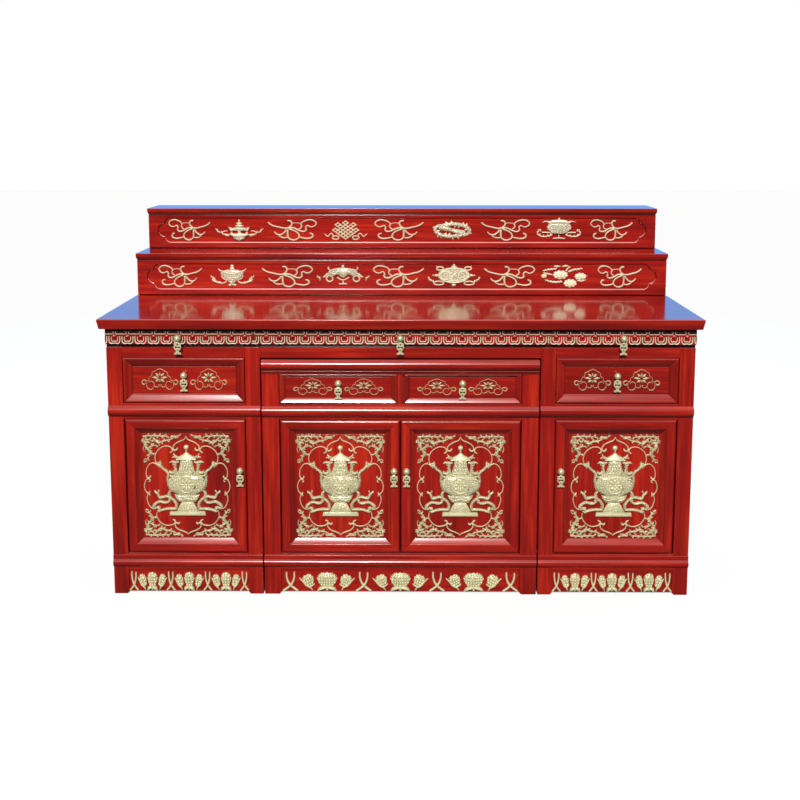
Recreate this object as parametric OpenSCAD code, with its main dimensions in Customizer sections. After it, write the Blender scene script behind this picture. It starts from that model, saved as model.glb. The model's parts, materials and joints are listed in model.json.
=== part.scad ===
/* [Table] */
// Width of the body, from one outer side to the other
body_w = 2134; // [1960:2:2400]
// Depth of the body, from its face to its back
body_d = 1028; // [940:4:1200]
// Height of the table's surface above the floor
table_h = 1044; // [980:2:1120]
// Thickness of the table top
top_t = 37; // [32:1:50]
// How far the table top reaches past the body's face
top_front = 40; // [38:1:60]
// How far the table top reaches past each outer side
top_end = 23; // [12:1:50]
// How far the table top reaches past the back
top_back = 5; // [1:1:20]
// How far the table top's edge leans in at its underside
top_lean = 7; // [2:1:11]
// Chamfer along the table top's upper edge
top_ease = 3; // [1:1:6]

/* [Pedestals] */
// Width of each pedestal, from the bay to the outer side
pedestal_w = 557; // [500:1:620]
// Side of the square corner posts
post_w = 56; // [44:1:70]
// Width of the stiles beside the bay
inner_stile_w = 54; // [44:1:70]
// Thickness of the rails and of the stiles beside the bay
rail_t = 30; // [26:1:40]
// Thickness of the boards that make walls, decks and floors
board_t = 18; // [14:1:24]
// Thickness of the thin panels in the sides and the back
panel_t = 10; // [6:1:14]
// Thickness of the rails in the outer sides
side_rail_t = 25; // [20:1:36]
// How far a side panel lies behind its rails
side_panel_in = 7; // [3:1:10]
// Chamfer at the inner lower corner of each foot
foot_chamfer = 7; // [3:1:14]
// Glue line left between neighbouring pieces of wood
joint = 0.2; // [0.1:0.05:0.3]

/* [Heights of the face] */
// Gap between the floor and an apron
apron_up = 8; // [4:1:20]
// Height of an apron
apron_h = 87; // [70:1:110]
// How far an apron lies behind the face
apron_in = 6; // [3:1:10]
// Thickness of an apron
apron_t = 16; // [12:1:22]
// Height of the rail above an apron
base_rail_h = 62; // [56:1:80]
// Height of the rail between a side door and its drawer
waist_rail_h = 58; // [54:1:80]
// Height of the opening for a side drawer
drawer_h = 170; // [140:1:200]
// Height of the rail under the frieze
top_rail_h = 38; // [26:1:60]
// Height of the space that the frieze drawers slide in
frieze_space_h = 72; // [62:1:90]

/* [Mouldings] */
// Height of the half round across a pedestal's waist
waist_round_h = 42; // [30:1:50]
// How far a waist half round stands out
waist_round_out = 12; // [6:1:14]
// Height of the half round above an apron
base_round_h = 32; // [20:1:36]
// How far a base half round stands out
base_round_out = 10; // [6:1:12]
// Distance from the top of an apron to the half round above it
base_round_up = 10; // [2:1:14]
// Height of the flat fillet on top of a base half round
fillet_h = 15; // [6:1:15]
// How far that fillet stands out
fillet_out = 4; // [2:1:8]

/* [Frieze] */
// Height of a frieze front
frieze_h = 58; // [44:1:64]
// How far the frieze stands out from the face
frieze_out = 10; // [4:1:10]
// Depth of the groove that runs under the frieze fronts
frieze_groove_in = 8; // [3:1:8]
// Gap between a frieze front and the table top
frieze_gap = 1; // [0.5:0.5:2]
// Distance from the edge of the bay, outwards, to the break between two frieze fronts
frieze_break_out = 27; // [10:1:60]
// Gap between two frieze fronts
frieze_slit = 2; // [1:0.5:4]
// Thickness of the board behind a frieze front
frieze_back_t = 15; // [10:1:20]
// Length of a frieze tray behind its front
frieze_tray_l = 600; // [400:10:760]

/* [Drawers] */
// Gap round a drawer front or a door in its opening
front_gap = 2; // [1.5:0.25:3]
// Thickness of a drawer front
front_t = 22; // [19:1:28]
// Width of the sloping frame round a side drawer's field
drawer_band = 32; // [22:1:40]
// How deep a side drawer's field lies behind the face
drawer_field_in = 11; // [6:1:12]
// Height of a side drawer's box
drawer_box_h = 150; // [100:1:158]
// Length of a side drawer's box behind its front
drawer_box_l = 780; // [500:10:860]
// Thickness of a drawer's sides and back
box_side_t = 13; // [10:1:18]
// Thickness of a drawer's bottom
box_bottom_t = 8; // [5:1:12]
// Running gap under and beside a drawer
run_gap = 0.4; // [0.35:0.05:0.8]
// Height of the strips that guide a drawer
guide_h = 14; // [8:1:20]

/* [Doors] */
// Thickness of a door's frame
door_t = 24; // [23:1:30]
// Width of the moulded frame of a door
door_band = 56; // [48:1:66]
// Radius of the rounded outer edge of a door, about which it turns
door_edge_r = 10; // [9:0.5:12]
// Width of the flat band of a door's frame
door_flat_w = 24; // [20:1:30]
// How deep a door's panel lies behind the face
door_panel_in = 12; // [6:1:13]
// Radius of a door's pivot pins
pivot_r = 4; // [3:0.25:6]
// Length of a pivot pin past the door's edge
pivot_l = 12; // [8:1:14]
// Clearance between a pivot pin and its bore
pivot_gap = 0.05; // [0.02:0.01:0.08]
// Gap between the two doors of the centre cabinet
door_slit = 2; // [1:0.5:4]

/* [Centre cabinet] */
// Gap between the centre cabinet and the wall of the bay, each side
bay_gap = 5; // [3:1:12]
// Gap between the centre cabinet and the rail over the bay
bay_gap_top = 7; // [4:1:14]
// Depth of the centre cabinet
centre_d = 920; // [780:10:920]
// Width of the centre cabinet's stiles
centre_stile_w = 62; // [50:1:72]
// Thickness of the centre cabinet's top
centre_top_t = 40; // [32:1:46]
// How far the round edge of the centre cabinet's top stands out
centre_top_out = 14; // [8:1:18]
// Height of the hollow moulding under the centre cabinet's top
hollow_h = 12; // [8:1:16]
// How far the hollow moulding stands out at its upper edge
hollow_out = 9; // [4:1:10]
// Height of the openings for the centre cabinet's drawers
centre_drawer_h = 113; // [100:1:130]
// Width of the divider between the two centre drawers
divider_w = 18; // [12:1:30]
// Width of the frame beside a centre drawer's field
centre_band_side = 22; // [16:1:30]
// Height of the frame under a centre drawer's field
centre_band_low = 20; // [14:1:26]
// Height of the frame over a centre drawer's field
centre_band_high = 11; // [8:1:20]
// How deep a centre drawer's field lies behind the face
centre_field_in = 8; // [5:1:10]
// Height of a centre drawer's box
centre_box_h = 95; // [60:1:95]
// Length of a centre drawer's box behind its front
centre_box_l = 700; // [480:10:700]

/* [Steps] */
// Distance from the body's face to the lower step's face
lower_step_y = 584; // [480:2:640]
// Distance from the end of the table top to the lower step's case
lower_step_end = 6; // [4:1:120]
// Height of the lower step
lower_step_h = 172; // [150:1:200]
// Distance from the body's face to the upper step's face
upper_step_y = 802; // [680:2:860]
// Distance from the end of the table top to the upper step's case
upper_step_end = 9; // [4:1:120]
// Height of the upper step
upper_step_h = 170; // [150:1:200]
// Thickness of a step's top board
step_top_t = 25; // [20:1:30]
// Height of the hollow under a step's top board
step_hollow_h = 10; // [6:1:12]
// How far a step's top board stands out over its case
step_nose = 4; // [2:1:6]
// Thickness of a step's case boards
step_board_t = 20; // [16:1:28]
// Height of the sunk field in a step's face
field_h = 100; // [80:1:108]
// How deep the sunk field is
field_in = 4; // [2:1:8]
// Distance from the foot of a step to its sunk field
field_up = 27; // [22:1:32]
// Distance from the end of a step to the tip of its sunk field
field_end = 43; // [30:1:80]
// Radius of the middle lobe at each end of a sunk field
lobe_r = 26; // [20:1:32]

/* [Pulls] */
// Radius of a pull's ball
ball_r = 12.5; // [10:0.5:13]
// Distance from the mounting face to the ball's centre
ball_out = 14; // [13:0.5:14]
// Radius of the rose under the ball
rose_r = 9; // [7:0.5:11]
// Thickness of the rose
rose_t = 2.5; // [2:0.5:4]
// Distance from the ball's centre down to the eye
eye_down = 16.5; // [16.5:0.5:20]
// Radius of the pin that the drop hangs from
pin_r = 1.6; // [1.2:0.1:1.8]
// Clearance between that pin and its eye
pin_gap = 0.05; // [0.02:0.01:0.08]
// Radius of the lug round the eye
lug_r = 3.4; // [3:0.1:3.8]
// Thickness of the lug
lug_t = 3; // [2:0.5:4]
// Radius of the drop's cheeks round the pin
cheek_r = 3; // [2.6:0.1:3.4]
// Thickness of each cheek
cheek_t = 3; // [2:0.5:4]
// Gap between the lug and a cheek
cheek_gap = 0.5; // [0.3:0.1:1]
// Thickness of the drop
drop_t = 3; // [2:0.5:4]
// Distance from the eye down to the middle of the drop's two shoulders
shoulder_down = 2.5; // [2:0.5:4]
// Distance from the drop's middle line to the middle of each shoulder
shoulder_out = 9.5; // [8:0.5:11]
// Radius of each shoulder
shoulder_r = 3; // [2:0.5:3.5]
// Distance from the eye to the rounded end of the slot that clears the lug
slot_down = 5.7; // [5.5:0.1:6.5]
// Radius of that rounded end
slot_end_r = 2.6; // [2.2:0.1:2.8]
// Distance from the eye to the middle of the drop's round part
pear_down = 14.5; // [14:0.5:17]
// Radius of the drop's round part
pear_r = 13.5; // [12:0.5:15]
// Distance from the eye to the middle of the bow-shaped opening
bow_down = 16; // [15:0.5:18]
// Distance from the drop's middle line to each end of the opening
bow_out = 9; // [7:0.5:10]
// Height of the opening at its ends
bow_h = 8; // [6:0.5:9]
// Height of the opening at its middle
bow_waist = 2.5; // [2:0.5:4]
// Distance from the eye to the small hole in the drop's neck
neck_down = 27; // [26:0.5:29]
// Radius of the drop's neck round that hole
neck_r = 6.5; // [5:0.5:8]
// Radius of the small hole
neck_hole_r = 2.2; // [1.5:0.1:3]
// Distance from the eye to the foot of the drop
drop_l = 42; // [40:0.5:48]
// Height of the drop's flared foot
flare_h = 10.5; // [8:0.5:12]
// Height of the ends of the flared foot
flare_end_h = 4.5; // [3:0.5:6]
// Half the width of the flared foot at its lower edge
flare_r = 13; // [10:0.5:15]
// Half the width of the flared foot at its upper edge
flare_neck_r = 4; // [3:0.5:6]
// Depth of the notch between the two lobes of the foot
flare_notch = 2.5; // [1:0.5:4]
// Height of a frieze pull's ball above the lower edge of its front
frieze_pull_up = 24; // [14:1:40]
// Height of a side drawer's ball above the middle of its front
drawer_pull_up = 19; // [0:1:28]
// Height of a centre drawer's ball above the middle of its front
centre_pull_up = 22; // [10:1:28]
// Distance of a door's pull from the door's free edge
door_pull_in = 22; // [16:1:26]
// Height of a door's ball above the middle of the door
door_pull_up = 64; // [0:1:120]

/* [Hidden] */
$fn = 64;

lacquer = [0.66, 0.10, 0.08];
deep_lacquer = [0.52, 0.07, 0.06];
bare_wood = [0.74, 0.58, 0.38];
gilt = [0.88, 0.78, 0.52];

// Drawer frames: a chamfered edge, a narrow flat, then a slope that flattens past a knee. Where
// the flat and the knee lie is a share of the frame's width, and the knee's depth of the field's
edge_chamfer = 2;
bead_start = 0.1;
bead_end = 0.22;
knee_at = 0.84;
knee_in = 0.7;

// Width and depth of the step between the flat band and the slope of a door's frame
step_in = 3;

// Chamfers on the step boards, and flats at the edges of the hollow moulding
small_ease = 1;
hollow_lip = 2;
hollow_foot_out = hollow_out / 3;

// How far a cut reaches past the piece that it is made in
cut_over = 1;

// Places across the table, from its middle
body_x = body_w / 2;
post_x = body_x - post_w;
bay_x = body_x - pedestal_w;
stile_x = bay_x + inner_stile_w;
wall_x = bay_x + board_t;
side_in_x = body_x - side_rail_t;
centre_x = bay_x - bay_gap;
centre_open_x = centre_x - centre_stile_w;
centre_wall_x = centre_x - board_t;
frieze_break = bay_x + frieze_break_out;
lower_step_w = body_w + 2 * (top_end - lower_step_end);
upper_step_w = body_w + 2 * (top_end - upper_step_end);

// Places from front to back, with the table centred
table_d = top_front + body_d + top_back;
face_y = top_front - table_d / 2;
back_y = face_y + body_d;
rail_back_y = face_y + rail_t;
post_back_y = face_y + post_w;
inside_back_y = back_y - rail_t;
centre_back_y = face_y + centre_d;
centre_inside_back_y = centre_back_y - rail_t;

// Heights of the table's face, from the floor up
apron_z = apron_up + apron_h;
door_z = apron_z + base_rail_h;
under_top_z = table_h - top_t;
deck_z = under_top_z - frieze_space_h;
drawer_top_z = deck_z - top_rail_h;
drawer_z = drawer_top_z - drawer_h;
door_top_z = drawer_z - waist_rail_h;
frieze_top_z = under_top_z - frieze_gap;
frieze_z = frieze_top_z - frieze_h;
waist_round_z = (drawer_z + door_top_z - waist_round_h) / 2;
base_round_z = apron_z + base_round_up;
fillet_z = base_round_z + base_round_h;

// Heights of the centre cabinet's face
centre_h = drawer_top_z - bay_gap_top;
centre_under_z = centre_h - centre_top_t;
centre_drawer_top_z = centre_under_z - hollow_h;
centre_drawer_z = centre_drawer_top_z - centre_drawer_h;
centre_door_top_z = centre_drawer_z - waist_rail_h;
centre_round_z = (centre_drawer_z + centre_door_top_z - waist_round_h) / 2;

// Steps
lower_y = face_y + lower_step_y;
upper_y = face_y + upper_step_y;
lower_top_z = table_h + lower_step_h;
upper_top_z = lower_top_z + upper_step_h;

// Left and right edges of the front and of the tray, for the side and the centre drawers
frieze_side_x0 = frieze_break + frieze_slit / 2;
tray_side_x0 = frieze_break + board_t / 2 + run_gap;
tray_side_x1 = post_x - run_gap;
frieze_centre_x = frieze_break - frieze_slit / 2;
tray_centre_x = frieze_break - board_t / 2 - run_gap;

// Doors turn about the centre of their rounded edge
door_pivot_x = post_x - front_gap - door_edge_r;
centre_pivot_x = centre_open_x - front_gap - door_edge_r;
pivot_y = face_y + door_edge_r;

// Size of the fields inside the door frames
drawer_mid_z = (drawer_z + drawer_top_z) / 2;
centre_drawer_mid_z = (centre_drawer_z + centre_drawer_top_z) / 2;
door_mid_z = (door_z + door_top_z) / 2;
centre_door_mid_z = (door_z + centre_door_top_z) / 2;
centre_drawer_mid_x = (centre_open_x + divider_w / 2) / 2;

// Name, and the place where each pull's ball axis meets the front that it is fixed to
function pull_place(name, x, y, z) = [name, [x, y, z]];
function both_sides(name, x, y, z) = [
  pull_place(str(name, "_left"), -x, y, z),
  pull_place(str(name, "_right"), x, y, z)
];
cheek_x = lug_t / 2 + cheek_gap;
frieze_pull_z = frieze_z + frieze_pull_up;
frieze_face_y = face_y - joint - frieze_out;
PULLS = concat(
  both_sides("frieze", (frieze_side_x0 + body_x) / 2, frieze_face_y, frieze_pull_z),
  [pull_place("frieze_centre", 0, frieze_face_y, frieze_pull_z)],
  both_sides("drawer", (stile_x + post_x) / 2, face_y + drawer_field_in, drawer_mid_z + drawer_pull_up),
  both_sides("door", stile_x + front_gap + door_pull_in, face_y, door_mid_z + door_pull_up),
  both_sides("centre_drawer", centre_drawer_mid_x, face_y + centre_field_in,
             centre_drawer_mid_z + centre_pull_up),
  both_sides("centre_door", door_slit / 2 + door_pull_in, face_y, centre_door_mid_z + door_pull_up)
);

// A straight piece of wood between two corners
module board(x0, x1, y0, y1, z0, z1) {
  translate([x0, y0, z0]) cube([x1 - x0, y1 - y0, z1 - z0]);
}

// Draws its children as they are for the right side, and mirrored for the left
module on_side(side) {
  if (side > 0) children();
  else mirror([1, 0, 0]) children();
}

module on_both_sides() {
  for (side = [-1, 1]) on_side(side) children();
}

// Runs a section drawn as [depth, height] along the width
module along_x(x0, x1) {
  translate([x0, 0, 0]) rotate([90, 0, 90]) linear_extrude(x1 - x0) children();
}

// Runs a section drawn as [width, height] from front to back
module along_y(y0, y1) {
  translate([0, y1, 0]) rotate([90, 0, 0]) linear_extrude(y1 - y0) children();
}

// Section of a half round of the given height that stands out from the plane y = 0
module half_round(h, out) {
  r = (h * h / 4 + out * out) / (2 * out);
  intersection() {
    translate([r - out, h / 2]) circle(r);
    translate([-out, 0]) square([out, h]);
  }
}

// Section of a board of the given length whose edge leans in below and is eased above
module leaning_section(length, t, lean, ease) {
  half = length / 2;
  polygon([
    [-half + lean, 0], [half - lean, 0], [half, t - ease],
    [half - ease, t], [-half + ease, t], [-half, t - ease]
  ]);
}

// One member of a moulded frame: it runs along X from the corner at the origin and faces -Y,
// with its outer edge at z = 0, and is mitred to the widths of its neighbours
module frame_member(length, band, near, far, t) {
  $band = band;
  intersection() {
    along_x(0, length) children();
    along_y(0, t) polygon([
      [joint, 0], [length - joint, 0],
      [length - far - joint, band], [near + joint, band]
    ]);
  }
}

// Four members round an opening from x0 to x1 and z0 to z1, with the section as its child
module moulded_frame(x0, x1, z0, z1, side, low, high, t) {
  translate([x0, face_y, z0]) frame_member(x1 - x0, low, side, side, t) children();
  translate([x0, face_y, z1]) mirror([0, 0, 1]) frame_member(x1 - x0, high, side, side, t) children();
  translate([x1, face_y, z0]) rotate([0, -90, 0]) frame_member(z1 - z0, side, low, high, t) children();
  translate([x0, face_y, z0]) mirror([1, 0, 0]) rotate([0, -90, 0])
    frame_member(z1 - z0, side, low, high, t) children();
}

// Section of a drawer's frame as [depth, distance in], drawn on the width of its member
module sloping_section(field_in) {
  polygon([
    [edge_chamfer, 0], [0, bead_start * $band], [0, bead_end * $band],
    [knee_in * field_in, knee_at * $band], [field_in, $band], [front_t, $band], [front_t, 0]
  ]);
}

// Section of a door's frame: a round edge, a flat band, a step and a slope down to the panel
module door_section() {
  flat_end = door_edge_r + door_flat_w;
  translate([door_edge_r, door_edge_r]) circle(door_edge_r);
  polygon([
    [door_edge_r, 0], [0, door_edge_r], [0, flat_end], [step_in, flat_end + step_in],
    [door_panel_in, $band - step_in], [door_panel_in, $band], [door_t, $band], [door_t, 0]
  ]);
}

// A drawer's front: a sloping frame round a flat field
module drawer_front(x0, x1, z0, z1, side, low, high, field_in) {
  left = x0 + front_gap;
  right = x1 - front_gap;
  bottom = z0 + front_gap;
  top = z1 - front_gap;
  moulded_frame(left, right, bottom, top, side, low, high, front_t) sloping_section(field_in);
  board(left + side + joint, right - side - joint, face_y + field_in, face_y + front_t,
        bottom + low + joint, top - high - joint);
}

// A drawer's box behind its front: two sides, a back and a bottom
module drawer_box(x0, x1, y0, length, z0, h) {
  y1 = y0 + length;
  board(x0, x0 + box_side_t, y0, y1, z0, z0 + h);
  board(x1 - box_side_t, x1, y0, y1, z0, z0 + h);
  board(x0 + box_side_t + joint, x1 - box_side_t - joint, y1 - box_side_t, y1, z0, z0 + h);
  board(x0 + box_side_t + joint, x1 - box_side_t - joint, y0, y1 - box_side_t - joint,
        z0, z0 + box_bottom_t);
}

// A door: a moulded frame round a flat panel, with a pin at each end of the pivot's stile
module door(x0, x1, z0, z1, pivot_x) {
  moulded_frame(x0, x1, z0, z1, door_band, door_band, door_band, door_t) door_section();
  board(x0 + door_band + joint, x1 - door_band - joint, face_y + door_panel_in,
        face_y + door_t, z0 + door_band + joint, z1 - door_band - joint);
  for (z = [z0 - pivot_l, z1 - joint])
    translate([pivot_x, pivot_y, z]) cylinder(r = pivot_r, h = pivot_l + joint);
}

// The bores that a door's pins turn in, cut from the rails over and under it
module pivot_bores(pivot_x, z0, z1) {
  bore_l = pivot_l + 2 * front_gap;
  for (z = [z0 - bore_l, z1])
    translate([pivot_x, pivot_y, z]) cylinder(r = pivot_r + pivot_gap, h = bore_l);
}

// A board that lies inside a pedestal and is notched round the corner posts
module pedestal_board(x0, z0, t) {
  difference() {
    board(x0, side_in_x - joint, rail_back_y + joint, inside_back_y - joint, z0, z0 + t);
    for (y = [face_y, back_y - post_w])
      board(post_x - joint, body_x, y - joint, y + post_w + joint, z0 - cut_over, z0 + t + cut_over);
  }
}

// A foot's section as [width, height], with the inner lower corner cut off
module foot_section(x0, x1, z1, inner) {
  polygon(inner > 0
    ? [[x0 + foot_chamfer, 0], [x1, 0], [x1, z1], [x0, z1], [x0, foot_chamfer]]
    : [[x0, 0], [x1 - foot_chamfer, 0], [x1, foot_chamfer], [x1, z1], [x0, z1]]);
}

// The table

module table_top() {
  color(lacquer) intersection() {
    along_x(-body_x - top_end, body_x + top_end)
      translate([0, under_top_z]) leaning_section(table_d, top_t, top_lean, top_ease);
    along_y(-table_d / 2, table_d / 2)
      translate([0, under_top_z]) leaning_section(body_w + 2 * top_end, top_t, top_lean, top_ease);
  }
}

// Space of the groove between the frieze fronts and the rail under them
module frieze_groove() {
  board(-body_x - cut_over, body_x + cut_over, face_y - cut_over, face_y + frieze_groove_in,
        deck_z, frieze_z);
}

// Two posts, three rails and two panels on each outer side
module outer_sides() {
  color(lacquer) on_both_sides() {
    difference() {
      along_y(face_y, post_back_y) foot_section(post_x, body_x, under_top_z, 1);
      frieze_groove();
    }
    along_y(back_y - post_w, back_y) foot_section(post_x, body_x, under_top_z, 1);
    y0 = post_back_y + joint;
    y1 = back_y - post_w - joint;
    for (z = [[apron_z, door_z], [door_top_z, drawer_z], [deck_z, under_top_z]])
      board(side_in_x, body_x, y0, y1, z[0], z[1]);
    for (z = [[door_z, door_top_z], [drawer_z, deck_z]])
      board(side_in_x, body_x - side_panel_in, y0, y1, z[0] + joint, z[1] - joint);
  }
}

// A stile at the front and the back of each wall of the bay, the wall between them, and strips
// on the wall that guide the centre cabinet
module inner_sides() {
  color(lacquer) on_both_sides() {
    along_y(face_y, rail_back_y) foot_section(bay_x, stile_x, deck_z, -1);
    along_y(inside_back_y, back_y) foot_section(bay_x, stile_x, deck_z, -1);
    board(bay_x, wall_x, rail_back_y + joint, inside_back_y - joint,
          apron_z, deck_z - board_t - joint);
    for (z = [door_z, centre_drawer_z])
      board(centre_x + run_gap, bay_x - joint, rail_back_y + joint, inside_back_y - joint,
            z - guide_h, z);
  }
}

module face_rails() {
  color(lacquer) {
    on_both_sides() difference() {
      for (z = [[apron_z, door_z], [door_top_z, drawer_z], [drawer_top_z, deck_z]])
        board(stile_x + joint, post_x - joint, face_y, rail_back_y, z[0], z[1]);
      pivot_bores(door_pivot_x, door_z, door_top_z);
    }
    board(-bay_x + joint, bay_x - joint, face_y, rail_back_y, drawer_top_z, deck_z);
  }
}

module waist_mouldings() {
  color(lacquer) on_both_sides() along_x(bay_x, body_x)
    translate([face_y, waist_round_z]) half_round(waist_round_h, waist_round_out);
}

// A half round and the flat fillet over it, drawn in front of the face
module base_moulding(x0, x1) {
  along_x(x0, x1) translate([face_y, 0]) {
    translate([0, base_round_z]) half_round(base_round_h, base_round_out);
    translate([-fillet_out, fillet_z - joint]) square([fillet_out, fillet_h]);
  }
}

module base_mouldings() {
  color(lacquer) on_both_sides() base_moulding(bay_x, body_x);
}

// An apron between the feet of each pedestal's face, and a plain one on each outer side
module aprons() {
  color(lacquer) on_both_sides() {
    board(stile_x + joint, post_x - joint, face_y + apron_in, face_y + apron_in + apron_t,
          apron_up, apron_z - joint);
    board(body_x - apron_in - apron_t, body_x - apron_in, post_back_y + joint,
          back_y - post_w - joint, apron_up, apron_z - joint);
  }
}

// Deck under the frieze, dividers on it, decks under the side drawers, floors and guide strips
module inner_boards() {
  strip_y0 = post_back_y + joint;
  strip_y1 = back_y - post_w - joint;
  color(bare_wood) {
    board(-wall_x, wall_x, rail_back_y + joint, inside_back_y - joint, deck_z - board_t, deck_z);
    on_both_sides() {
      pedestal_board(wall_x + joint, deck_z - board_t, board_t);
      pedestal_board(wall_x + joint, drawer_z - board_t, board_t);
      pedestal_board(wall_x + joint, door_z - board_t, board_t);
      difference() {
        board(frieze_break - board_t / 2, frieze_break + board_t / 2, face_y,
              inside_back_y - joint, deck_z + joint, under_top_z - joint);
        frieze_groove();
      }
      for (z = [drawer_z, deck_z])
        board(post_x + joint, side_in_x - joint, strip_y0, strip_y1, z + joint, z + guide_h);
      board(wall_x + joint, stile_x - joint, rail_back_y + joint, inside_back_y - joint,
            drawer_z + joint, drawer_z + guide_h);
    }
  }
}

module back_panels() {
  y0 = inside_back_y;
  color(deep_lacquer) {
    on_both_sides() board(stile_x + joint, post_x - joint, y0, y0 + panel_t, apron_z, deck_z);
    board(-bay_x + joint, bay_x - joint, y0, y0 + panel_t, apron_z, deck_z);
    board(-post_x + joint, post_x - joint, y0, y0 + panel_t, deck_z + joint, under_top_z - joint);
  }
}

// The steps

// Outline of a sunk field whose ends have a middle lobe between two smaller ones
module lobed_field(w, h) {
  corner_r = h / 2 - lobe_r;
  lobe_x = w / 2 - lobe_r;
  square([2 * (lobe_x - corner_r), h], center = true);
  square([2 * lobe_x, 2 * lobe_r], center = true);
  for (x = [-1, 1]) {
    translate([x * lobe_x, 0]) circle(lobe_r);
    for (z = [-1, 1]) translate([x * (lobe_x - corner_r), z * lobe_r]) circle(corner_r);
  }
}

// A step's case: a face with its sunk field, two ends and a back
module step_case(w, y0, z0, z1) {
  end_x = w / 2 - step_board_t;
  difference() {
    board(-w / 2, w / 2, y0, y0 + step_board_t, z0, z1);
    along_y(y0 - cut_over, y0 + field_in)
      translate([0, z0 + field_up + field_h / 2]) lobed_field(w - 2 * field_end, field_h);
  }
  on_both_sides() board(end_x, w / 2, y0 + step_board_t + joint, back_y, z0, z1);
  board(-end_x + joint, end_x - joint, back_y - step_board_t, back_y, z0, z1);
}

// A step's top board: a square edge over a hollow, drawn on the given length
module step_section(length) {
  half = length / 2;
  edge = half + step_nose;
  polygon([
    [-half, 0], [half, 0],
    [edge - small_ease, step_hollow_h - small_ease], [edge, step_hollow_h],
    [edge, step_top_t - small_ease], [edge - small_ease, step_top_t],
    [-edge + small_ease, step_top_t], [-edge, step_top_t - small_ease],
    [-edge, step_hollow_h], [-edge + small_ease, step_hollow_h - small_ease]
  ]);
}

// The board overhangs the case at the front and the ends, and is flush with the back
module step_top(w, y0, z0) {
  length = back_y - y0;
  intersection() {
    along_y(y0 - step_nose, back_y) translate([0, z0]) step_section(w);
    along_x(-w / 2 - step_nose, w / 2 + step_nose)
      translate([back_y, z0]) step_section(2 * length);
  }
}

module lower_step_case() {
  color(lacquer) step_case(lower_step_w, lower_y, table_h, lower_top_z - step_top_t);
}

module lower_step_top() {
  color(lacquer) step_top(lower_step_w, lower_y, lower_top_z - step_top_t);
}

module upper_step_case() {
  color(lacquer) step_case(upper_step_w, upper_y, lower_top_z, upper_top_z - step_top_t);
}

module upper_step_top() {
  color(lacquer) step_top(upper_step_w, upper_y, upper_top_z - step_top_t);
}

// The frieze drawers

// The front stands out from the face, laps over the post and the dividers beside its tray, and
// is set back below to leave the groove
module frieze_front(x0, x1, tray_x0, tray_x1) {
  color(lacquer) difference() {
    union() {
      board(x0, x1, frieze_face_y, face_y - joint, frieze_z, frieze_top_z);
      board(tray_x0, tray_x1, face_y - joint, face_y + frieze_back_t, deck_z + run_gap, frieze_top_z);
    }
    frieze_groove();
  }
}

module frieze_tray(tray_x0, tray_x1) {
  z0 = deck_z + run_gap;
  color(bare_wood)
    drawer_box(tray_x0, tray_x1, face_y + frieze_back_t + joint, frieze_tray_l, z0,
               under_top_z - z0 - box_bottom_t);
}

// The drawers and doors of the pedestals

module side_drawer_front() {
  color(lacquer) drawer_front(stile_x, post_x, drawer_z, drawer_top_z,
                              drawer_band, drawer_band, drawer_band, drawer_field_in);
}

module side_drawer_box() {
  color(bare_wood) drawer_box(stile_x + run_gap, post_x - run_gap, face_y + front_t + joint,
                              drawer_box_l, drawer_z + run_gap, drawer_box_h);
}

module side_door() {
  color(lacquer) door(stile_x + front_gap, post_x - front_gap,
                      door_z + front_gap, door_top_z - front_gap, door_pivot_x);
}

// The centre cabinet

// A board with a rounded front edge
module centre_top() {
  color(lacquer) {
    board(-centre_x, centre_x, face_y, centre_back_y, centre_under_z, centre_h);
    along_x(-centre_x, centre_x)
      translate([face_y, centre_under_z]) half_round(centre_top_t, centre_top_out);
  }
}

module centre_sides() {
  color(lacquer) on_both_sides() {
    for (y = [face_y, centre_inside_back_y])
      along_y(y, y + rail_t) foot_section(centre_open_x, centre_x, centre_under_z - joint, 1);
    board(centre_wall_x, centre_x, rail_back_y + joint, centre_inside_back_y - joint,
          apron_z, centre_under_z - joint);
  }
}

module centre_rails() {
  x = centre_open_x - joint;
  color(lacquer) {
    difference() {
      for (z = [[apron_z, door_z], [centre_door_top_z, centre_drawer_z],
                [centre_drawer_top_z, centre_under_z - joint]])
        board(-x, x, face_y, rail_back_y, z[0], z[1]);
      on_both_sides() pivot_bores(centre_pivot_x, door_z, centre_door_top_z);
    }
    board(-divider_w / 2, divider_w / 2, face_y, rail_back_y,
          centre_drawer_z + joint, centre_drawer_top_z - joint);
  }
}

// Hollow moulding under the top, half round at the waist, half round and fillet at the base
module centre_mouldings() {
  color(lacquer) {
    along_x(-centre_x, centre_x) translate([face_y, centre_drawer_top_z])
      polygon([
        [0, 0], [0, hollow_h - joint], [-hollow_out, hollow_h - joint],
        [-hollow_out, hollow_h - hollow_lip], [-hollow_foot_out, hollow_lip], [-hollow_foot_out, 0]
      ]);
    along_x(-centre_x, centre_x)
      translate([face_y, centre_round_z]) half_round(waist_round_h, waist_round_out);
    base_moulding(-centre_x, centre_x);
  }
}

module centre_apron() {
  x = centre_open_x - joint;
  color(lacquer)
    board(-x, x, face_y + apron_in, face_y + apron_in + apron_t, apron_up, apron_z - joint);
}

// Deck under the drawers, partition between them, guide strips, floor and back
module centre_boards() {
  x = centre_wall_x - joint;
  y0 = rail_back_y + joint;
  y1 = centre_inside_back_y - joint;
  color(bare_wood) {
    for (z = [door_z, centre_drawer_z]) board(-x, x, y0, y1, z - board_t, z);
    board(-divider_w / 2, divider_w / 2, y0, y1, centre_drawer_z + joint, centre_under_z - joint);
    on_both_sides() board(centre_open_x + joint, x, y0, y1,
                          centre_drawer_z + joint, centre_drawer_z + guide_h);
    board(-centre_open_x + joint, centre_open_x - joint, centre_inside_back_y,
          centre_inside_back_y + panel_t, apron_z, centre_under_z - joint);
  }
}

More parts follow.
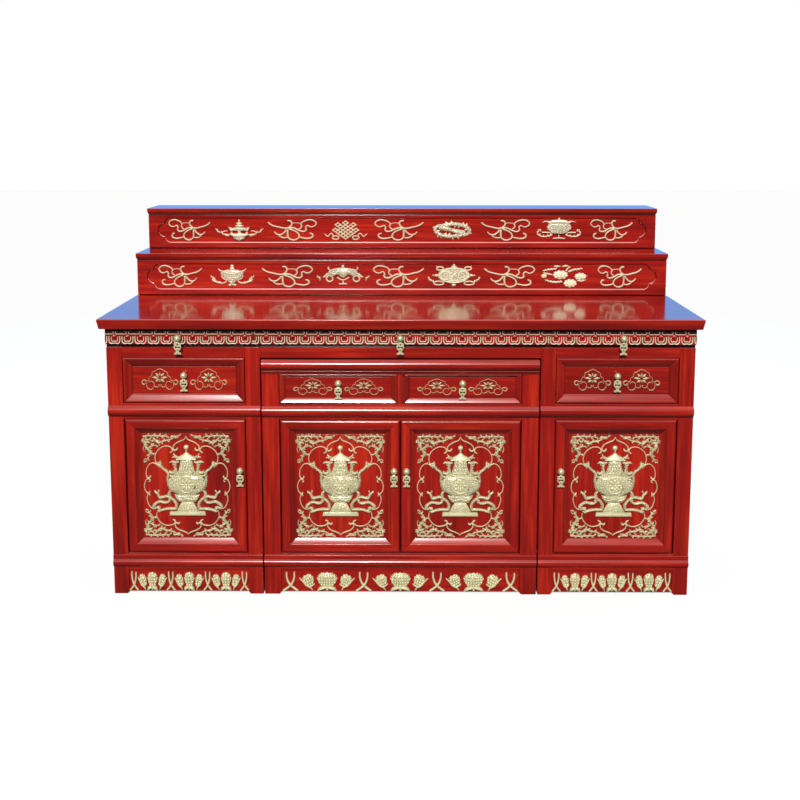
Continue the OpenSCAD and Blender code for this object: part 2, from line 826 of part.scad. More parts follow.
module centre_drawer_front() {
  color(lacquer) drawer_front(divider_w / 2, centre_open_x, centre_drawer_z, centre_drawer_top_z,
                              centre_band_side, centre_band_low, centre_band_high, centre_field_in);
}

module centre_drawer_box() {
  color(bare_wood) drawer_box(divider_w / 2 + run_gap, centre_open_x - run_gap,
                              face_y + front_t + joint, centre_box_l,
                              centre_drawer_z + run_gap, centre_box_h);
}

module centre_door() {
  color(lacquer) door(door_slit / 2, centre_open_x - front_gap,
                      door_z + front_gap, centre_door_top_z - front_gap, centre_pivot_x);
}

// The pulls, drawn with the mounting face at y = 0 and the ball's centre at z = 0

// A ball on a rose, with a lug under it that is bored for the drop's pin
module boss() {
  color(gilt) difference() {
    union() {
      translate([0, -ball_out, 0]) sphere(ball_r);
      rotate([90, 0, 0]) cylinder(r = rose_r, h = rose_t);
      translate([-lug_t / 2, 0, 0]) rotate([90, 0, 90]) linear_extrude(lug_t) {
        translate([-ball_out, -eye_down]) circle(lug_r);
        translate([-ball_out - lug_r / 2, -eye_down]) square([lug_r, eye_down - ball_r / 2]);
      }
    }
    translate([-lug_t, -ball_out, -eye_down]) rotate([0, 90, 0])
      cylinder(r = pin_r + pin_gap, h = 2 * lug_t);
  }
}

// Outline of the drop: two shoulders over a round part, a neck and a flared foot of two lobes, with
// a slot for the lug, a bow-shaped opening and a small hole
module drop_outline() {
  difference() {
    union() {
      for (side = [-1, 1]) translate([side * shoulder_out, -shoulder_down]) circle(shoulder_r);
      polygon([
        [-shoulder_out, shoulder_r - shoulder_down], [shoulder_out, shoulder_r - shoulder_down],
        [shoulder_out + shoulder_r, -shoulder_down], [pear_r, -pear_down],
        [-pear_r, -pear_down], [-shoulder_out - shoulder_r, -shoulder_down]
      ]);
      translate([0, -pear_down]) circle(pear_r);
      translate([0, -neck_down]) circle(neck_r);
      polygon([
        [-flare_neck_r, flare_h - drop_l], [-flare_r, flare_end_h - drop_l], [-flare_r, -drop_l],
        [-flare_notch, -drop_l], [0, flare_notch - drop_l], [flare_notch, -drop_l],
        [flare_r, -drop_l], [flare_r, flare_end_h - drop_l], [flare_neck_r, flare_h - drop_l],
        [flare_neck_r, -pear_down], [-flare_neck_r, -pear_down]
      ]);
    }
    translate([-cheek_x, -slot_down]) square([2 * cheek_x, slot_down + lug_r]);
    translate([0, -slot_down]) circle(slot_end_r);
    polygon([
      [-bow_out, -bow_down - bow_h / 2], [0, -bow_down - bow_waist / 2],
      [bow_out, -bow_down - bow_h / 2], [bow_out, -bow_down + bow_h / 2],
      [0, -bow_down + bow_waist / 2], [-bow_out, -bow_down + bow_h / 2]
    ]);
    translate([0, -neck_down]) circle(neck_hole_r);
  }
}

// A drop hangs from a pin between two cheeks, one on each side of the lug
module drop() {
  color(gilt) translate([0, -ball_out, -eye_down]) {
    along_y(-drop_t / 2, drop_t / 2) drop_outline();
    translate([-cheek_x - cheek_t, 0, 0]) rotate([0, 90, 0])
      cylinder(r = pin_r, h = 2 * (cheek_x + cheek_t));
    on_both_sides() translate([cheek_x, 0, 0]) rotate([0, 90, 0]) cylinder(r = cheek_r, h = cheek_t);
  }
}

table_top();
outer_sides();
inner_sides();
face_rails();
waist_mouldings();
base_mouldings();
aprons();
inner_boards();
back_panels();
lower_step_case();
lower_step_top();
upper_step_case();
upper_step_top();
frieze_front(-frieze_centre_x, frieze_centre_x, -tray_centre_x, tray_centre_x);  // frieze_front_centre
frieze_tray(-tray_centre_x, tray_centre_x);  // frieze_tray_centre
centre_top();
centre_sides();
centre_rails();
centre_mouldings();
centre_apron();
centre_boards();
for (s = [[-1, "_left"], [1, "_right"]]) on_side(s[0]) {
  frieze_front(frieze_side_x0, body_x, tray_side_x0, tray_side_x1);
  frieze_tray(tray_side_x0, tray_side_x1);
  side_drawer_front();
  side_drawer_box();
  side_door();
  centre_drawer_front();
  centre_drawer_box();
  centre_door();
}
for (p = PULLS) translate(p[1]) {
  boss();
  drop();
}
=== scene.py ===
import json
import math
import random

import bmesh
import bpy
from bpy.props import FloatProperty, FloatVectorProperty, PointerProperty
from mathutils import Euler, Matrix, Vector


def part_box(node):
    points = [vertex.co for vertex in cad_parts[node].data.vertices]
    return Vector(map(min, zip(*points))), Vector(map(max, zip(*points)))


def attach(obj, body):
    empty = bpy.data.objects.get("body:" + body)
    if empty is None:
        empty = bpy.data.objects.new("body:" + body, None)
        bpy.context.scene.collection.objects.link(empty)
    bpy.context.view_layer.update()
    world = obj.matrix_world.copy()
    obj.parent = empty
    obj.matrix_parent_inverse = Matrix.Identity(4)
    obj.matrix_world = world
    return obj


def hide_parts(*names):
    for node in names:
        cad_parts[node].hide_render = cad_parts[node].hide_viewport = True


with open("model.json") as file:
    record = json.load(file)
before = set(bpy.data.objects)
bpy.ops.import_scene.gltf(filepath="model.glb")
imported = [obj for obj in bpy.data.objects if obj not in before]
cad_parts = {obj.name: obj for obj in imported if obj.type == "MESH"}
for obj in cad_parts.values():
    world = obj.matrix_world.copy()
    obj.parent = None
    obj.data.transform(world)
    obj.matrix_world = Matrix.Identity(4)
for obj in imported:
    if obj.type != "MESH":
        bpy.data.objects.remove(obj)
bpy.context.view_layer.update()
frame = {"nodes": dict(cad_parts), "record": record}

bl_info = {
    "name": "Lacquered altar cabinet",
    "version": (1, 0, 0),
    "blender": (4, 5, 0),
    "location": "View3D > Sidebar > Altar",
    "description": "Lacquer, gilt carving, pulls and bare wood for an altar cabinet, and a plain stage",
    "category": "Object",
}

MM = 0.001

GILT_SLOT = "gilt_brass"
LACQUER_SLOT = "red_lacquer"
BACK_SLOT = "back_lacquer"
WOOD_SLOT = "bare_wood"
# The paler leaf is painted light for the more brightly lit steps and frieze; the last finish is painted
# shadow
LEAF, PAINTED_LIGHT_LEAF, SHADE = "gold leaf", "painted-light gold leaf", "painted shadow band"

SLOT_OF = {part["node"]: part["material_slot"] for part in frame["record"]["subparts"]}
BODY_OF = {node: body for body, nodes in frame["record"]["behaviour"]["bodies"].items() for node in nodes}

# The groove under the frieze, in millimetres, whose back is given painted shade

GROOVE_BACK, GROOVE_LOW, GROOVE_HIGH, GROOVE_END = -488.5, 935, 948, 1068


# Settings that a user would change


class LacquerLook(bpy.types.PropertyGroup):
    """Colours and edges of the lacquered wood"""

    deep: FloatVectorProperty(
        name="Deep red", description="Darker tone of the lacquer", subtype="COLOR", size=3, min=0, max=1,
        default=(0.20, 0.006, 0.004))
    bright: FloatVectorProperty(
        name="Bright red", description="Lighter tone of the lacquer", subtype="COLOR", size=3, min=0, max=1,
        default=(0.47, 0.013, 0.006))
    streak: FloatVectorProperty(
        name="Grain streaks", description="Orange tone where the grain shows", subtype="COLOR", size=3,
        min=0, max=1, default=(0.64, 0.055, 0.010))
    back: FloatVectorProperty(
        name="Back panels", description="Thin lacquer on the hidden back", subtype="COLOR", size=3,
        min=0, max=1, default=(0.20, 0.010, 0.010))
    gloss: FloatProperty(
        name="Roughness", description="Roughness of the lacquer", default=0.2, min=0.02, max=1)
    edge: FloatProperty(
        name="Edge", description="Width of the rounding along the edges of the boards", unit="LENGTH",
        default=1.2 * MM, min=0.0002, max=0.004)


class GiltLook(bpy.types.PropertyGroup):
    """Colours and depth of the gilt carving"""

    pale: FloatVectorProperty(
        name="Pale gold", description="Gold on the raised forms", subtype="COLOR", size=3, min=0, max=1,
        default=(0.78, 0.74, 0.45))
    # A paler copy of the gold for the steps and the frieze: painted light, where the carving is more brightly
    # lit
    painted_light_pale: FloatVectorProperty(
        name="Gold with painted light", description="Paler gold of the steps and of the frieze", subtype="COLOR", size=3,
        min=0, max=1, default=(0.92, 0.89, 0.64))
    # Shaded gold is painted shade on the foot of each carved form and in the hollows between forms
    shade: FloatVectorProperty(
        name="Shaded gold", description="Gold in the hollows", subtype="COLOR", size=3, min=0, max=1,
        default=(0.13, 0.085, 0.03))
    metal: FloatProperty(
        name="Metallic", description="How metallic the gold leaf looks", default=0.2, min=0, max=1)
    relief: FloatProperty(
        name="Relief", description="Depth of the carving, as a multiple of a shallow relief", default=1.8,
        min=0.5, max=2.5)


class WoodLook(bpy.types.PropertyGroup):
    """Colours of the bare wood inside"""

    pale: FloatVectorProperty(
        name="Pale wood", description="Lighter tone of the grain", subtype="COLOR", size=3, min=0, max=1,
        default=(0.56, 0.37, 0.20))
    dark: FloatVectorProperty(
        name="Dark wood", description="Darker tone of the grain", subtype="COLOR", size=3, min=0, max=1,
        default=(0.36, 0.20, 0.095))


class StageLook(bpy.types.PropertyGroup):
    """Floor, lights and camera"""

    floor: FloatVectorProperty(
        name="Floor", description="Colour of the plain floor", subtype="COLOR", size=3, min=0, max=1,
        default=(0.90, 0.90, 0.90))
    light: FloatProperty(
        name="Light", description="Brightness of all the lights together", default=1.0, min=0.1, max=4)
    focal: FloatProperty(
        name="Focal length", description="Focal length of the camera, in millimetres", default=51.60,
        min=10, max=200)


# Materials

# Painted highlight: pale pink mixed into the lacquer on edges and slopes that look up to the light
PAINTED_HIGHLIGHT = (0.86, 0.34, 0.30)
# Painted shade for bare wood, where dusk marks faces that look down
PAINTED_SHADE_WOOD = (0.02, 0.008, 0.006)
POLISHED_COAT = 0.65


class Signal:
    """A node's output that takes part in arithmetic"""

    def __init__(self, finish, socket):
        self.finish = finish
        self.socket = socket

    def __add__(self, other):
        return self.finish.math("ADD", self, other)

    def __sub__(self, other):
        return self.finish.math("SUBTRACT", self, other)

    def __rsub__(self, other):
        return self.finish.math("SUBTRACT", other, self)

    def __mul__(self, other):
        return self.finish.math("MULTIPLY", self, other)

    __radd__ = __add__
    __rmul__ = __mul__


class Finish:
    """A material or a world whose nodes are written as expressions"""

    def __init__(self, owner):
        owner.use_nodes = True
        self.owner = owner
        self.tree = owner.node_tree
        self.tree.nodes.clear()

    def node(self, kind, settings=None, sockets=None):
        """Adds a node, sets it up, feeds its sockets and returns it"""
        made = self.tree.nodes.new(kind)
        for name, value in (settings or {}).items():
            if name == "stops":
                self.set_stops(made.color_ramp, value)
            else:
                setattr(made, name, value)
        for name, value in (sockets or {}).items():
            if isinstance(value, Signal):
                self.tree.links.new(value.socket, made.inputs[name])
            else:
                made.inputs[name].default_value = value
        return made

    def signal(self, kind, settings=None, sockets=None, output=0):
        return Signal(self, self.node(kind, settings, sockets).outputs[output])

    @staticmethod
    def set_stops(ramp, stops):
        while len(ramp.elements) < len(stops):
            ramp.elements.new(0.5)
        for element, (place, value) in zip(ramp.elements, stops):
            element.position = place
            element.color = (value, value, value, 1)

    def math(self, operation, a, b):
        return self.signal("ShaderNodeMath", {"operation": operation}, {0: a, 1: b})

    def clamp(self, value):
        return self.signal("ShaderNodeMath", {"operation": "ADD", "use_clamp": True}, {0: value, 1: 0.0})

    def attribute(self, name, output="Fac"):
        return self.signal("ShaderNodeAttribute", {"attribute_name": name}, output=output)

    def noise(self, vector, scale, detail, roughness=0.55):
        return self.signal("ShaderNodeTexNoise", None, {
            "Vector": vector, "Scale": scale, "Detail": detail, "Roughness": roughness})

    def grain(self, along, across, detail, roughness=0.55):
        """Noise that is drawn out along the grain of each board"""
        place = self.signal("ShaderNodeVectorMath", {"operation": "MULTIPLY"}, {
            0: self.attribute("grain", "Vector"), 1: (along, across, across)})
        return self.noise(place, 1.0, detail, roughness)

    def ramp(self, value, *stops):
        return self.signal("ShaderNodeValToRGB", {"stops": stops}, {0: value})

    def mix(self, factor, a, b):
        """Mixes two colours"""
        a, b = (colour if isinstance(colour, Signal) else (*colour, 1) for colour in (a, b))
        return self.signal("ShaderNodeMix", {"data_type": "RGBA"}, {0: factor, 6: a, 7: b}, output=2)

    def bump(self, height, distance, strength):
        return self.signal("ShaderNodeBump", None, {
            "Height": height, "Distance": distance, "Strength": strength})

    def surface(self, **sockets):
        """Ends the material with its shader and returns the material"""
        named = {name.replace("_", " "): value for name, value in sockets.items()}
        shader = self.signal("ShaderNodeBsdfPrincipled", None, named)
        self.node("ShaderNodeOutputMaterial", None, {"Surface": shader})
        return self.owner


def dimmed(colour, share):
    return tuple(c * share for c in colour)


def lacquer_finish(name, deep, bright, streak, gloss, coat):
    """Glossy lacquer over wood: streaks of grain, a painted highlight on edges and slopes that look up, and
    painted shade on faces that look down and in hollows
    """
    finish = Finish(bpy.data.materials.new(name))
    gleam, dusk, polish = (finish.attribute(mark) for mark in ("gleam", "dusk", "polish"))
    cloud = finish.grain(1.5, 5, 3)
    streaks = finish.grain(3.5, 70, 5, 0.6)
    fine = finish.grain(9, 420, 3, 0.6)
    tone = finish.ramp(cloud * 0.45 + streaks * 0.45 + fine * 0.1, (0.36, 0.0), (0.62, 1.0))
    flame = finish.ramp(streaks * 0.7 + cloud * 0.3, (0.52, 0.0), (0.68, 1.0))
    colour = finish.mix(tone, deep, bright)
    colour = finish.mix(flame * 0.4, colour, streak)
    # Painted highlight where gleam marks faces that look up
    colour = finish.mix(finish.clamp(gleam * (0.5 + fine * 0.6)), colour, PAINTED_HIGHLIGHT)
    # Painted shade where dusk marks faces that look down, the groove's back and the space under a step's top
    colour = finish.mix(dusk, colour, dimmed(deep, 0.08))
    rough = fine * 0.06 + cloud * 0.08 + gloss - 0.07
    return finish.surface(
        Base_Color=colour, Roughness=rough, Specular_IOR_Level=0.3,
        Coat_Weight=polish * POLISHED_COAT + coat, Coat_Roughness=0.1,
        Normal=finish.bump(streaks * 0.5 + fine * 0.5, 0.25 * MM, 0.35))


def gilt_finish(name, pale, shade, metal, gloss, carved):
    """Gold leaf: pale on the raised forms of a carving and brown in its hollows, as painted highlight and
    painted shade, with a chased ground
    """
    finish = Finish(bpy.data.materials.new(name))
    place = finish.signal("ShaderNodeTexCoord", output="Object")
    if carved:
        # Painted shade: the gold darkens towards the foot of each form, with painted highlight towards its
        # top
        raised = finish.ramp(finish.attribute("raised"), (0.1, 0.0), (0.85, 1.0))
    else:
        # Pulls have no carving: painted highlight where gleam is set, painted shade where dusk is set
        raised = finish.attribute("gleam") * 0.4 - finish.attribute("dusk") * 0.9 + 0.9
    mottle = finish.noise(place, 55.0, 4)
    fine = finish.noise(place, 420.0, 3)
    cells = finish.signal("ShaderNodeTexVoronoi", {"feature": "DISTANCE_TO_EDGE"}, {
        "Vector": place, "Scale": 115.0})
    pits = finish.ramp(cells, (0.03, 1.0), (0.22, 0.0)) * finish.attribute("chased")
    light = mottle * 0.5 - pits * 0.55 + raised * 0.75
    colour = finish.mix(finish.clamp(light), shade, pale)
    rough = mottle * 0.2 + gloss - 0.1
    return finish.surface(
        Base_Color=colour, Roughness=rough, Metallic=metal, Coat_Weight=0.8, Coat_Roughness=0.15,
        Normal=finish.bump(fine * 0.25 + mottle * 0.5 - pits, 2 * MM, 0.9))


def wood_finish(name, pale, dark):
    """Planed bare wood"""
    finish = Finish(bpy.data.materials.new(name))
    bend = finish.grain(1.2, 6, 2)
    rings = finish.grain(2, 38, 6, 0.62)
    pores = finish.grain(14, 600, 3, 0.6)
    tone = finish.ramp(rings * 0.6 + bend * 0.25 + pores * 0.15, (0.36, 0.0), (0.64, 1.0))
    # The base colour is darkened where dusk is set: painted shade
    return finish.surface(
        Base_Color=finish.mix(finish.attribute("dusk"), finish.mix(tone, dark, pale), PAINTED_SHADE_WOOD),
        Roughness=pores * 0.2 + 0.48,
        Normal=finish.bump(rings * 0.4 + pores * 0.6, 0.3 * MM, 0.5))


FINISHES = {}


def finish_for(slot):
    """The material of a slot of the record or of a finish of the carving, made when first asked for"""
    if slot not in FINISHES:
        scene = bpy.context.scene
        red, gilt, wood = scene.altar_lacquer, scene.altar_gilt, scene.altar_wood
        if slot == LACQUER_SLOT:
            made = lacquer_finish("red lacquer", red.deep, red.bright, red.streak, red.gloss, 0.35)
        elif slot == BACK_SLOT:
            made = lacquer_finish(
                "back lacquer", dimmed(red.back, 0.5), red.back, red.streak, red.gloss + 0.22, 0.1)
        elif slot == WOOD_SLOT:
            made = wood_finish("bare wood", wood.pale, wood.dark)
        elif slot == GILT_SLOT:
            made = gilt_finish("gilt brass", gilt.pale, gilt.shade, gilt.metal + 0.1, 0.3, False)
        elif slot == SHADE:
            # Painted shadow: a near-black lacquer for the sheet behind the frieze's pans
            deep, bright = dimmed(red.deep, 0.06), dimmed(red.bright, 0.06)
            made = lacquer_finish("painted shadow band", deep, bright, red.deep, red.gloss + 0.3, 0.0)
        else:
            # Steps and frieze take the paler gold: painted light
            pale = gilt.painted_light_pale if slot == PAINTED_LIGHT_LEAF else gilt.pale
            made = gilt_finish(slot, pale, gilt.shade, gilt.metal, 0.4, True)
        FINISHES[slot] = made
    return FINISHES[slot]


# Boards and mouldings, shaped from the frame

# Least angle of an edge that is rounded, in degrees, and least upward share of a level face's normal
HARD_EDGE, LEVEL = 28, 0.97
# How far the rim of a step's field stays from the step's end, and how near to its top it gets painted shade
FIELD_SIDE, FIELD_ROOF = 12 * MM, 6 * MM


def islands(shape):
    """Lists of the vertices that hang together"""
    left = set(shape.verts)
    while left:
        start = left.pop()
        found, edge = [start], [start]
        while edge:
            near = [e.other_vert(v) for v in edge for e in v.link_edges]
            edge = []
            for v in near:
                if v in left:
                    left.discard(v)
                    edge.append(v)
            found += edge
        yield found


def lay_grain(shape, seed):
    """Gives each board its own grain, along its longest side"""
    layer = shape.verts.layers.float_vector.new("grain")
    shape.verts.ensure_lookup_table()
    boards = sorted(islands(shape), key=lambda vs: min(v.index for v in vs))
    draw = random.Random(seed)
    for board in boards:
        low = Vector(min(v.co[i] for v in board) for i in range(3))
        size = Vector(max(v.co[i] for v in board) for i in range(3)) - low
        order = sorted(range(3), key=lambda i: -size[i])
        shift = Vector(draw.uniform(0, 20) for _ in range(3))
        for v in board:
            v[layer] = Vector(v.co[i] - low[i] for i in order) + shift


def smooth_object(name, shape, finish, sharp=50):
    """Makes an object of a mesh, with flat faces kept flat beside the rounded edges"""
    mesh = bpy.data.meshes.new(name)
    shape.to_mesh(mesh)
    shape.free()
    mesh.shade_smooth()
    mesh.set_sharp_from_angle(angle=math.radians(sharp))
    mesh.materials.append(finish)
    made = bpy.data.objects.new(name, mesh)
    bpy.context.scene.collection.objects.link(made)
    return made


def in_groove(face):
    """Whether a face is the back of the groove under the frieze, which gets painted shade"""
    middle = face.calc_center_median() / MM
    return (face.normal.y < -0.9 and abs(middle.y - GROOVE_BACK) < 0.6 and abs(middle.x) < GROOVE_END
            and GROOVE_LOW < middle.z < GROOVE_HIGH)


def mark_light(shape, rounded, field):
    """Paints light into each corner of each face: gleam, a painted highlight, where it looks up to the light,
    and dusk, painted shade, where it looks down into the dark

    The rim of a sunk field and the space under a step's top have rules of their own: painted highlight and
    painted shade on the rim, painted shade under the top.
    """
    gleam = shape.loops.layers.float.new("gleam")
    dusk = shape.loops.layers.float.new("dusk")
    polish = shape.loops.layers.float.new("polish")
    side = max(v.co.x for v in shape.verts) - FIELD_SIDE
    roof = max(v.co.z for v in shape.verts) - FIELD_ROOF
    for face in shape.faces:
        groove = in_groove(face)
        rim = field and face in rounded and abs(face.calc_center_median().x) < side
        for loop in face.loops:
            near = [f.normal for f in loop.vert.link_faces if f.normal.dot(face.normal) > 0.8]
            up = sum(near, Vector()).normalized().z
            # Painted shade on the groove's back and on the rim just under a step's top
            if groove or (rim and face.calc_center_median().z > roof):
                loop[dusk] = 1.0
            # Rim of a sunk field: painted highlight where it looks up, painted shade elsewhere
            elif rim:
                loop[dusk] = 0.9 if up < 0.25 else 0.0
                loop[gleam] = 1.0 if up > 0.25 else 0.0
            # Rounded edges: painted highlight on the upper side, painted shade on the lower side
            elif face in rounded:
                loop[gleam] = 0.7 * max(0.0, up - 0.2)
                loop[dusk] = 0.3 + 0.5 * max(0.0, -up) if up < 0.2 else 0.0
            # Slopes: painted highlight where they look up, painted shade where they look down and where they
            # lean sideways
            elif abs(up) < LEVEL:
                lean = abs(face.normal.x)
                loop[gleam] = 0.3 * max(0.0, up - 0.2)
                loop[dusk] = max(-up, 0.7 * lean if lean < 0.9 else 0.0, 0.0)
            # Painted shade on level faces that look down
            elif up < 0:
                loop[dusk] = 0.3
            else:
                loop[polish] = 1.0


def shaped(node, edge):
    """A finished piece in place of one node of the frame, with its edges rounded"""
    shape = bmesh.new()
    shape.from_mesh(frame["nodes"][node].data)
    bmesh.ops.remove_doubles(shape, verts=shape.verts, dist=0.00002)
    bmesh.ops.dissolve_limit(shape, angle_limit=math.radians(0.4), verts=shape.verts, edges=shape.edges)
    bmesh.ops.recalc_face_normals(shape, faces=shape.faces)
    rounded = set()
    field = node.endswith("step_case")
    if edge > 0:
        hard = [e for e in shape.edges
                if e.is_manifold and e.is_convex and e.calc_face_angle(0) > math.radians(HARD_EDGE)]
        cut = bmesh.ops.bevel(
            shape, geom=hard, offset=edge, offset_type="OFFSET", affect="EDGES", segments=2, profile=0.5,
            material=-1, clamp_overlap=not field)
        rounded = set(cut["faces"])
        bmesh.ops.recalc_face_normals(shape, faces=shape.faces)
    mark_light(shape, rounded, field)
    lay_grain(shape, node)
    made = smooth_object(node + "_finished", shape, finish_for(SLOT_OF[node]))
    weighted = made.modifiers.new("Flat faces", "WEIGHTED_NORMAL")
    weighted.keep_sharp = True
    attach(made, BODY_OF[node])
    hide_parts(node)
    return made


# Carving: a stroke stands proud of its face, and a pad's foot is sunk into it, in millimetres

PROUD = 0.3
SUNK = 1.0


class Carving:
    """Gilt relief, drawn in millimetres about its middle on a face that looks to -Y"""

    def __init__(self):
        self.shape = bmesh.new()
        self.raised = self.shape.verts.layers.float.new("raised")
        self.chased = self.shape.verts.layers.float.new("chased")

    def lines(self, strokes, wide=1.0, rise=0.7, lift=0.0, sides=1, steps=3, both=False, chased=0.0):
        """Sweeps a flattened round along each stroke, whose points are (x, z, half its width)"""
        curve = bpy.data.curves.new("strokes", "CURVE")
        curve.dimensions = "3D"
        curve.bevel_depth = 1.0
        curve.bevel_resolution = sides
        curve.resolution_u = steps
        curve.use_fill_caps = True
        for stroke in strokes:
            spline = curve.splines.new("BEZIER")
            spline.bezier_points.add(len(stroke) - 1)
            for point, (x, z, half) in zip(spline.bezier_points, stroke):
                point.co = (x, 0, z)
                point.radius = half * wide
                point.handle_left_type = point.handle_right_type = "AUTO"
        drawn = bpy.data.objects.new("strokes", curve)
        bpy.context.scene.collection.objects.link(drawn)
        graph = bpy.context.evaluated_depsgraph_get()
        mesh = bpy.data.meshes.new_from_object(drawn.evaluated_get(graph))
        bpy.data.objects.remove(drawn)
        bpy.data.curves.remove(curve)
        first = len(self.shape.verts)
        self.shape.from_mesh(mesh)
        bpy.data.meshes.remove(mesh)
        self.shape.verts.ensure_lookup_table()
        new = self.shape.verts[first:]
        bmesh.ops.remove_doubles(self.shape, verts=new, dist=0.001)
        self.shape.verts.ensure_lookup_table()
        new = self.shape.verts[first:]
        for v in new:
            v.co.y = v.co.y * rise - lift - PROUD
            v[self.raised] = self.shine(v, lift)
            v[self.chased] = chased
        if both:
            self.mirror(new)

    def pad(self, outline, rise, crown=(), chased=0.0):
        """Raises an outline from the face and rounds it over with steps of (inset, height)"""
        verts = [self.shape.verts.new((x, SUNK, z)) for x, z in outline]
        base = self.shape.faces.new(verts)
        lifted = bmesh.ops.extrude_face_region(self.shape, geom=[base], use_keep_orig=True)["geom"]
        top = [f for f in lifted if isinstance(f, bmesh.types.BMFace)]
        raised = [v for v in lifted if isinstance(v, bmesh.types.BMVert)]
        bmesh.ops.translate(self.shape, verts=raised, vec=(0, -rise - SUNK, 0))
        whole = verts + raised
        for inset, height in crown:
            rim = bmesh.ops.inset_region(self.shape, faces=top, thickness=inset, use_even_offset=True)
            inner = list({v for f in top for v in f.verts})
            bmesh.ops.translate(self.shape, verts=inner, vec=(0, -height, 0))
            whole += list({v for f in rim["faces"] for v in f.verts})
        for v in set(whole):
            # Painted shade at the pad's foot, lit gold above its middle
            v[self.raised] = 1.0 if v.co.y < -0.5 * rise else 0.0
            v[self.chased] = chased

    @staticmethod
    def shine(vert, lift):
        """How far a vertex stands above the foot of its own form, from 0 to 1, which sets the gold's painted
        highlight and painted shade
        """
        return min(1.0, max(0.0, 0.1 - (vert.co.y + lift) / 2.0))

    # bright below 1 dims the gold of the whole ball: painted shade, as in the gaps between a lotus's scales
    def bead(self, x, z, half_x, half_z, rise, lift=0.0, turn=0.0, chased=0.0, rings=6, around=10,
             bright=1.0):
        """A flattened ball"""
        placing = (Matrix.Translation((x, -lift, z)) @ Euler((0, turn, 0)).to_matrix().to_4x4()
                   @ Matrix.Diagonal((half_x, rise, half_z, 1)))
        made = bmesh.ops.create_uvsphere(
            self.shape, u_segments=around, v_segments=rings, radius=1.0, matrix=placing)
        for v in made["verts"]:
            v[self.raised] = self.shine(v, lift) * bright
            v[self.chased] = chased

    def mirror(self, verts):
        """Adds the mirror image of some vertices and what hangs on them"""
        inside = set(verts)
        faces = [f for f in self.shape.faces if all(v in inside for v in f.verts)]
        copied = bmesh.ops.duplicate(self.shape, geom=faces)["geom"]
        flipped = [v for v in copied if isinstance(v, bmesh.types.BMVert)]
        bmesh.ops.scale(self.shape, vec=(-1, 1, 1), verts=flipped)

    def mesh(self, name):
        deeper = (1, bpy.context.scene.altar_gilt.relief, 1)
        bmesh.ops.scale(self.shape, vec=deeper, verts=self.shape.verts)
        bmesh.ops.recalc_face_normals(self.shape, faces=self.shape.faces)
        made = bpy.data.meshes.new(name)
        self.shape.to_mesh(made)
        self.shape.free()
        return made


def lay_carving(name, body, copies, ends=None, finish=LEAF):
    """Joins copies of carved meshes as one piece, cut off at the ends if these are given

    Each copy is (mesh, x, face y, z, width, height)
    """
    shape = bmesh.new()
    for mesh, x, y, z, across, up in copies:
        first = len(shape.verts)
        shape.from_mesh(mesh)
        shape.verts.ensure_lookup_table()
        placing = Matrix.Translation((x * MM, y * MM, z * MM)) @ Matrix.Diagonal(
            (across * MM, MM, up * MM, 1))
        bmesh.ops.transform(shape, matrix=placing, verts=shape.verts[first:])
    for x, side in zip(ends or (), (-1, 1)):
        cut = bmesh.ops.bisect_plane(
            shape, geom=[*shape.verts, *shape.edges, *shape.faces], dist=1e-7, plane_co=(x * MM, 0, 0),
            plane_no=(side, 0, 0), clear_outer=True)["geom_cut"]
        bmesh.ops.holes_fill(shape, edges=[e for e in cut if isinstance(e, bmesh.types.BMEdge)], sides=0)
    bmesh.ops.recalc_face_normals(shape, faces=shape.faces)
    made = smooth_object(name, shape, finish_for(finish), sharp=65)
    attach(made, body)
    return made


# Line work, each stroke a row of (x, z, half its width) in millimetres

CARTOUCHE = (
    ((0, 189, 1.2), (6, 177, 2.2), (21, 170, 2.4), (39, 160, 2.2), (48, 147, 2.4), (45, 136, 3),
     (36, 137, 3.6), (32, 145, 2.6)),
    ((60, 126, 2.4), (52, 132, 3.4), (53, 143, 2.6), (71, 151, 2), (97, 142, 2), (113, 121, 2),
     (115, 97, 2), (106, 81, 2.6), (95, 84, 3.2), (97, 93, 2)),
    ((101, 70, 2), (110, 81, 2.6), (127, 87, 2), (143, 74, 2), (150, 51, 2), (144, 30, 2.4), (135, 34, 3),
     (136, 40, 2)),
    ((141, 16, 2), (136, 19, 2.6), (144, 27, 2.4), (156, 11, 2), (158, -5, 2), (152, -22, 2.2),
     (141, -29, 3), (140, -21, 2)),
    ((139, -37, 2), (142, -31, 2.4), (149, -42, 2), (147, -64, 2), (135, -84, 2), (117, -88, 2.4)),
    ((114, -100, 2), (116, -115, 2), (106, -136, 2), (87, -150, 2), (65, -151, 2.2), (51, -144, 2.8),
     (48, -134, 3.4), (57, -129, 2.4)),
    ((31, -138, 2.6), (35, -145, 3.4), (44, -141, 3), (48, -152, 2.4), (39, -165, 2.4), (19, -174, 2.6),
     (6, -180, 2.2), (0, -186, 1.4)),
)
SPANDREL = (
    ((-122, 184, 4), (-112, 172, 6), (-99, 163, 6.5), (-88, 168, 6), (-74, 172, 5), (-60, 174, 4),
     (-48, 180, 3.4), (-40, 187, 3)),
    ((-156, 178, 4), (-154, 162, 5), (-150, 150, 6), (-140, 139, 7), (-134, 124, 6), (-138, 110, 5),
     (-146, 100, 4), (-148, 90, 2.4)),
    ((-142, 143, 4), (-128, 150, 5), (-112, 154, 2)),
    ((-136, 130, 4), (-127, 125, 4.4), (-120, 117, 2)),
    ((-158, 188, 4), (-125, 190, 4.6), (-95, 189, 4.6), (-69, 188, 3)),
    ((-156, 184, 4), (-155, 172, 4.6), (-147, 164, 4.6), (-138, 169, 4), (-141, 178, 3)),
    ((-57, 184, 2.4), (-50, 191, 3), (-43, 184, 2.6), (-33, 190, 2.6), (-24, 187, 1.2)),
    ((-129, 184, 3), (-131, 173, 3.6), (-122, 167, 2.6)),
    ((-156, 150, 3), (-158, 138, 3), (-154, 128, 2)),
    ((-148, 104, 3), (-156, 99, 2.6), (-155, 90, 1.4)),
)
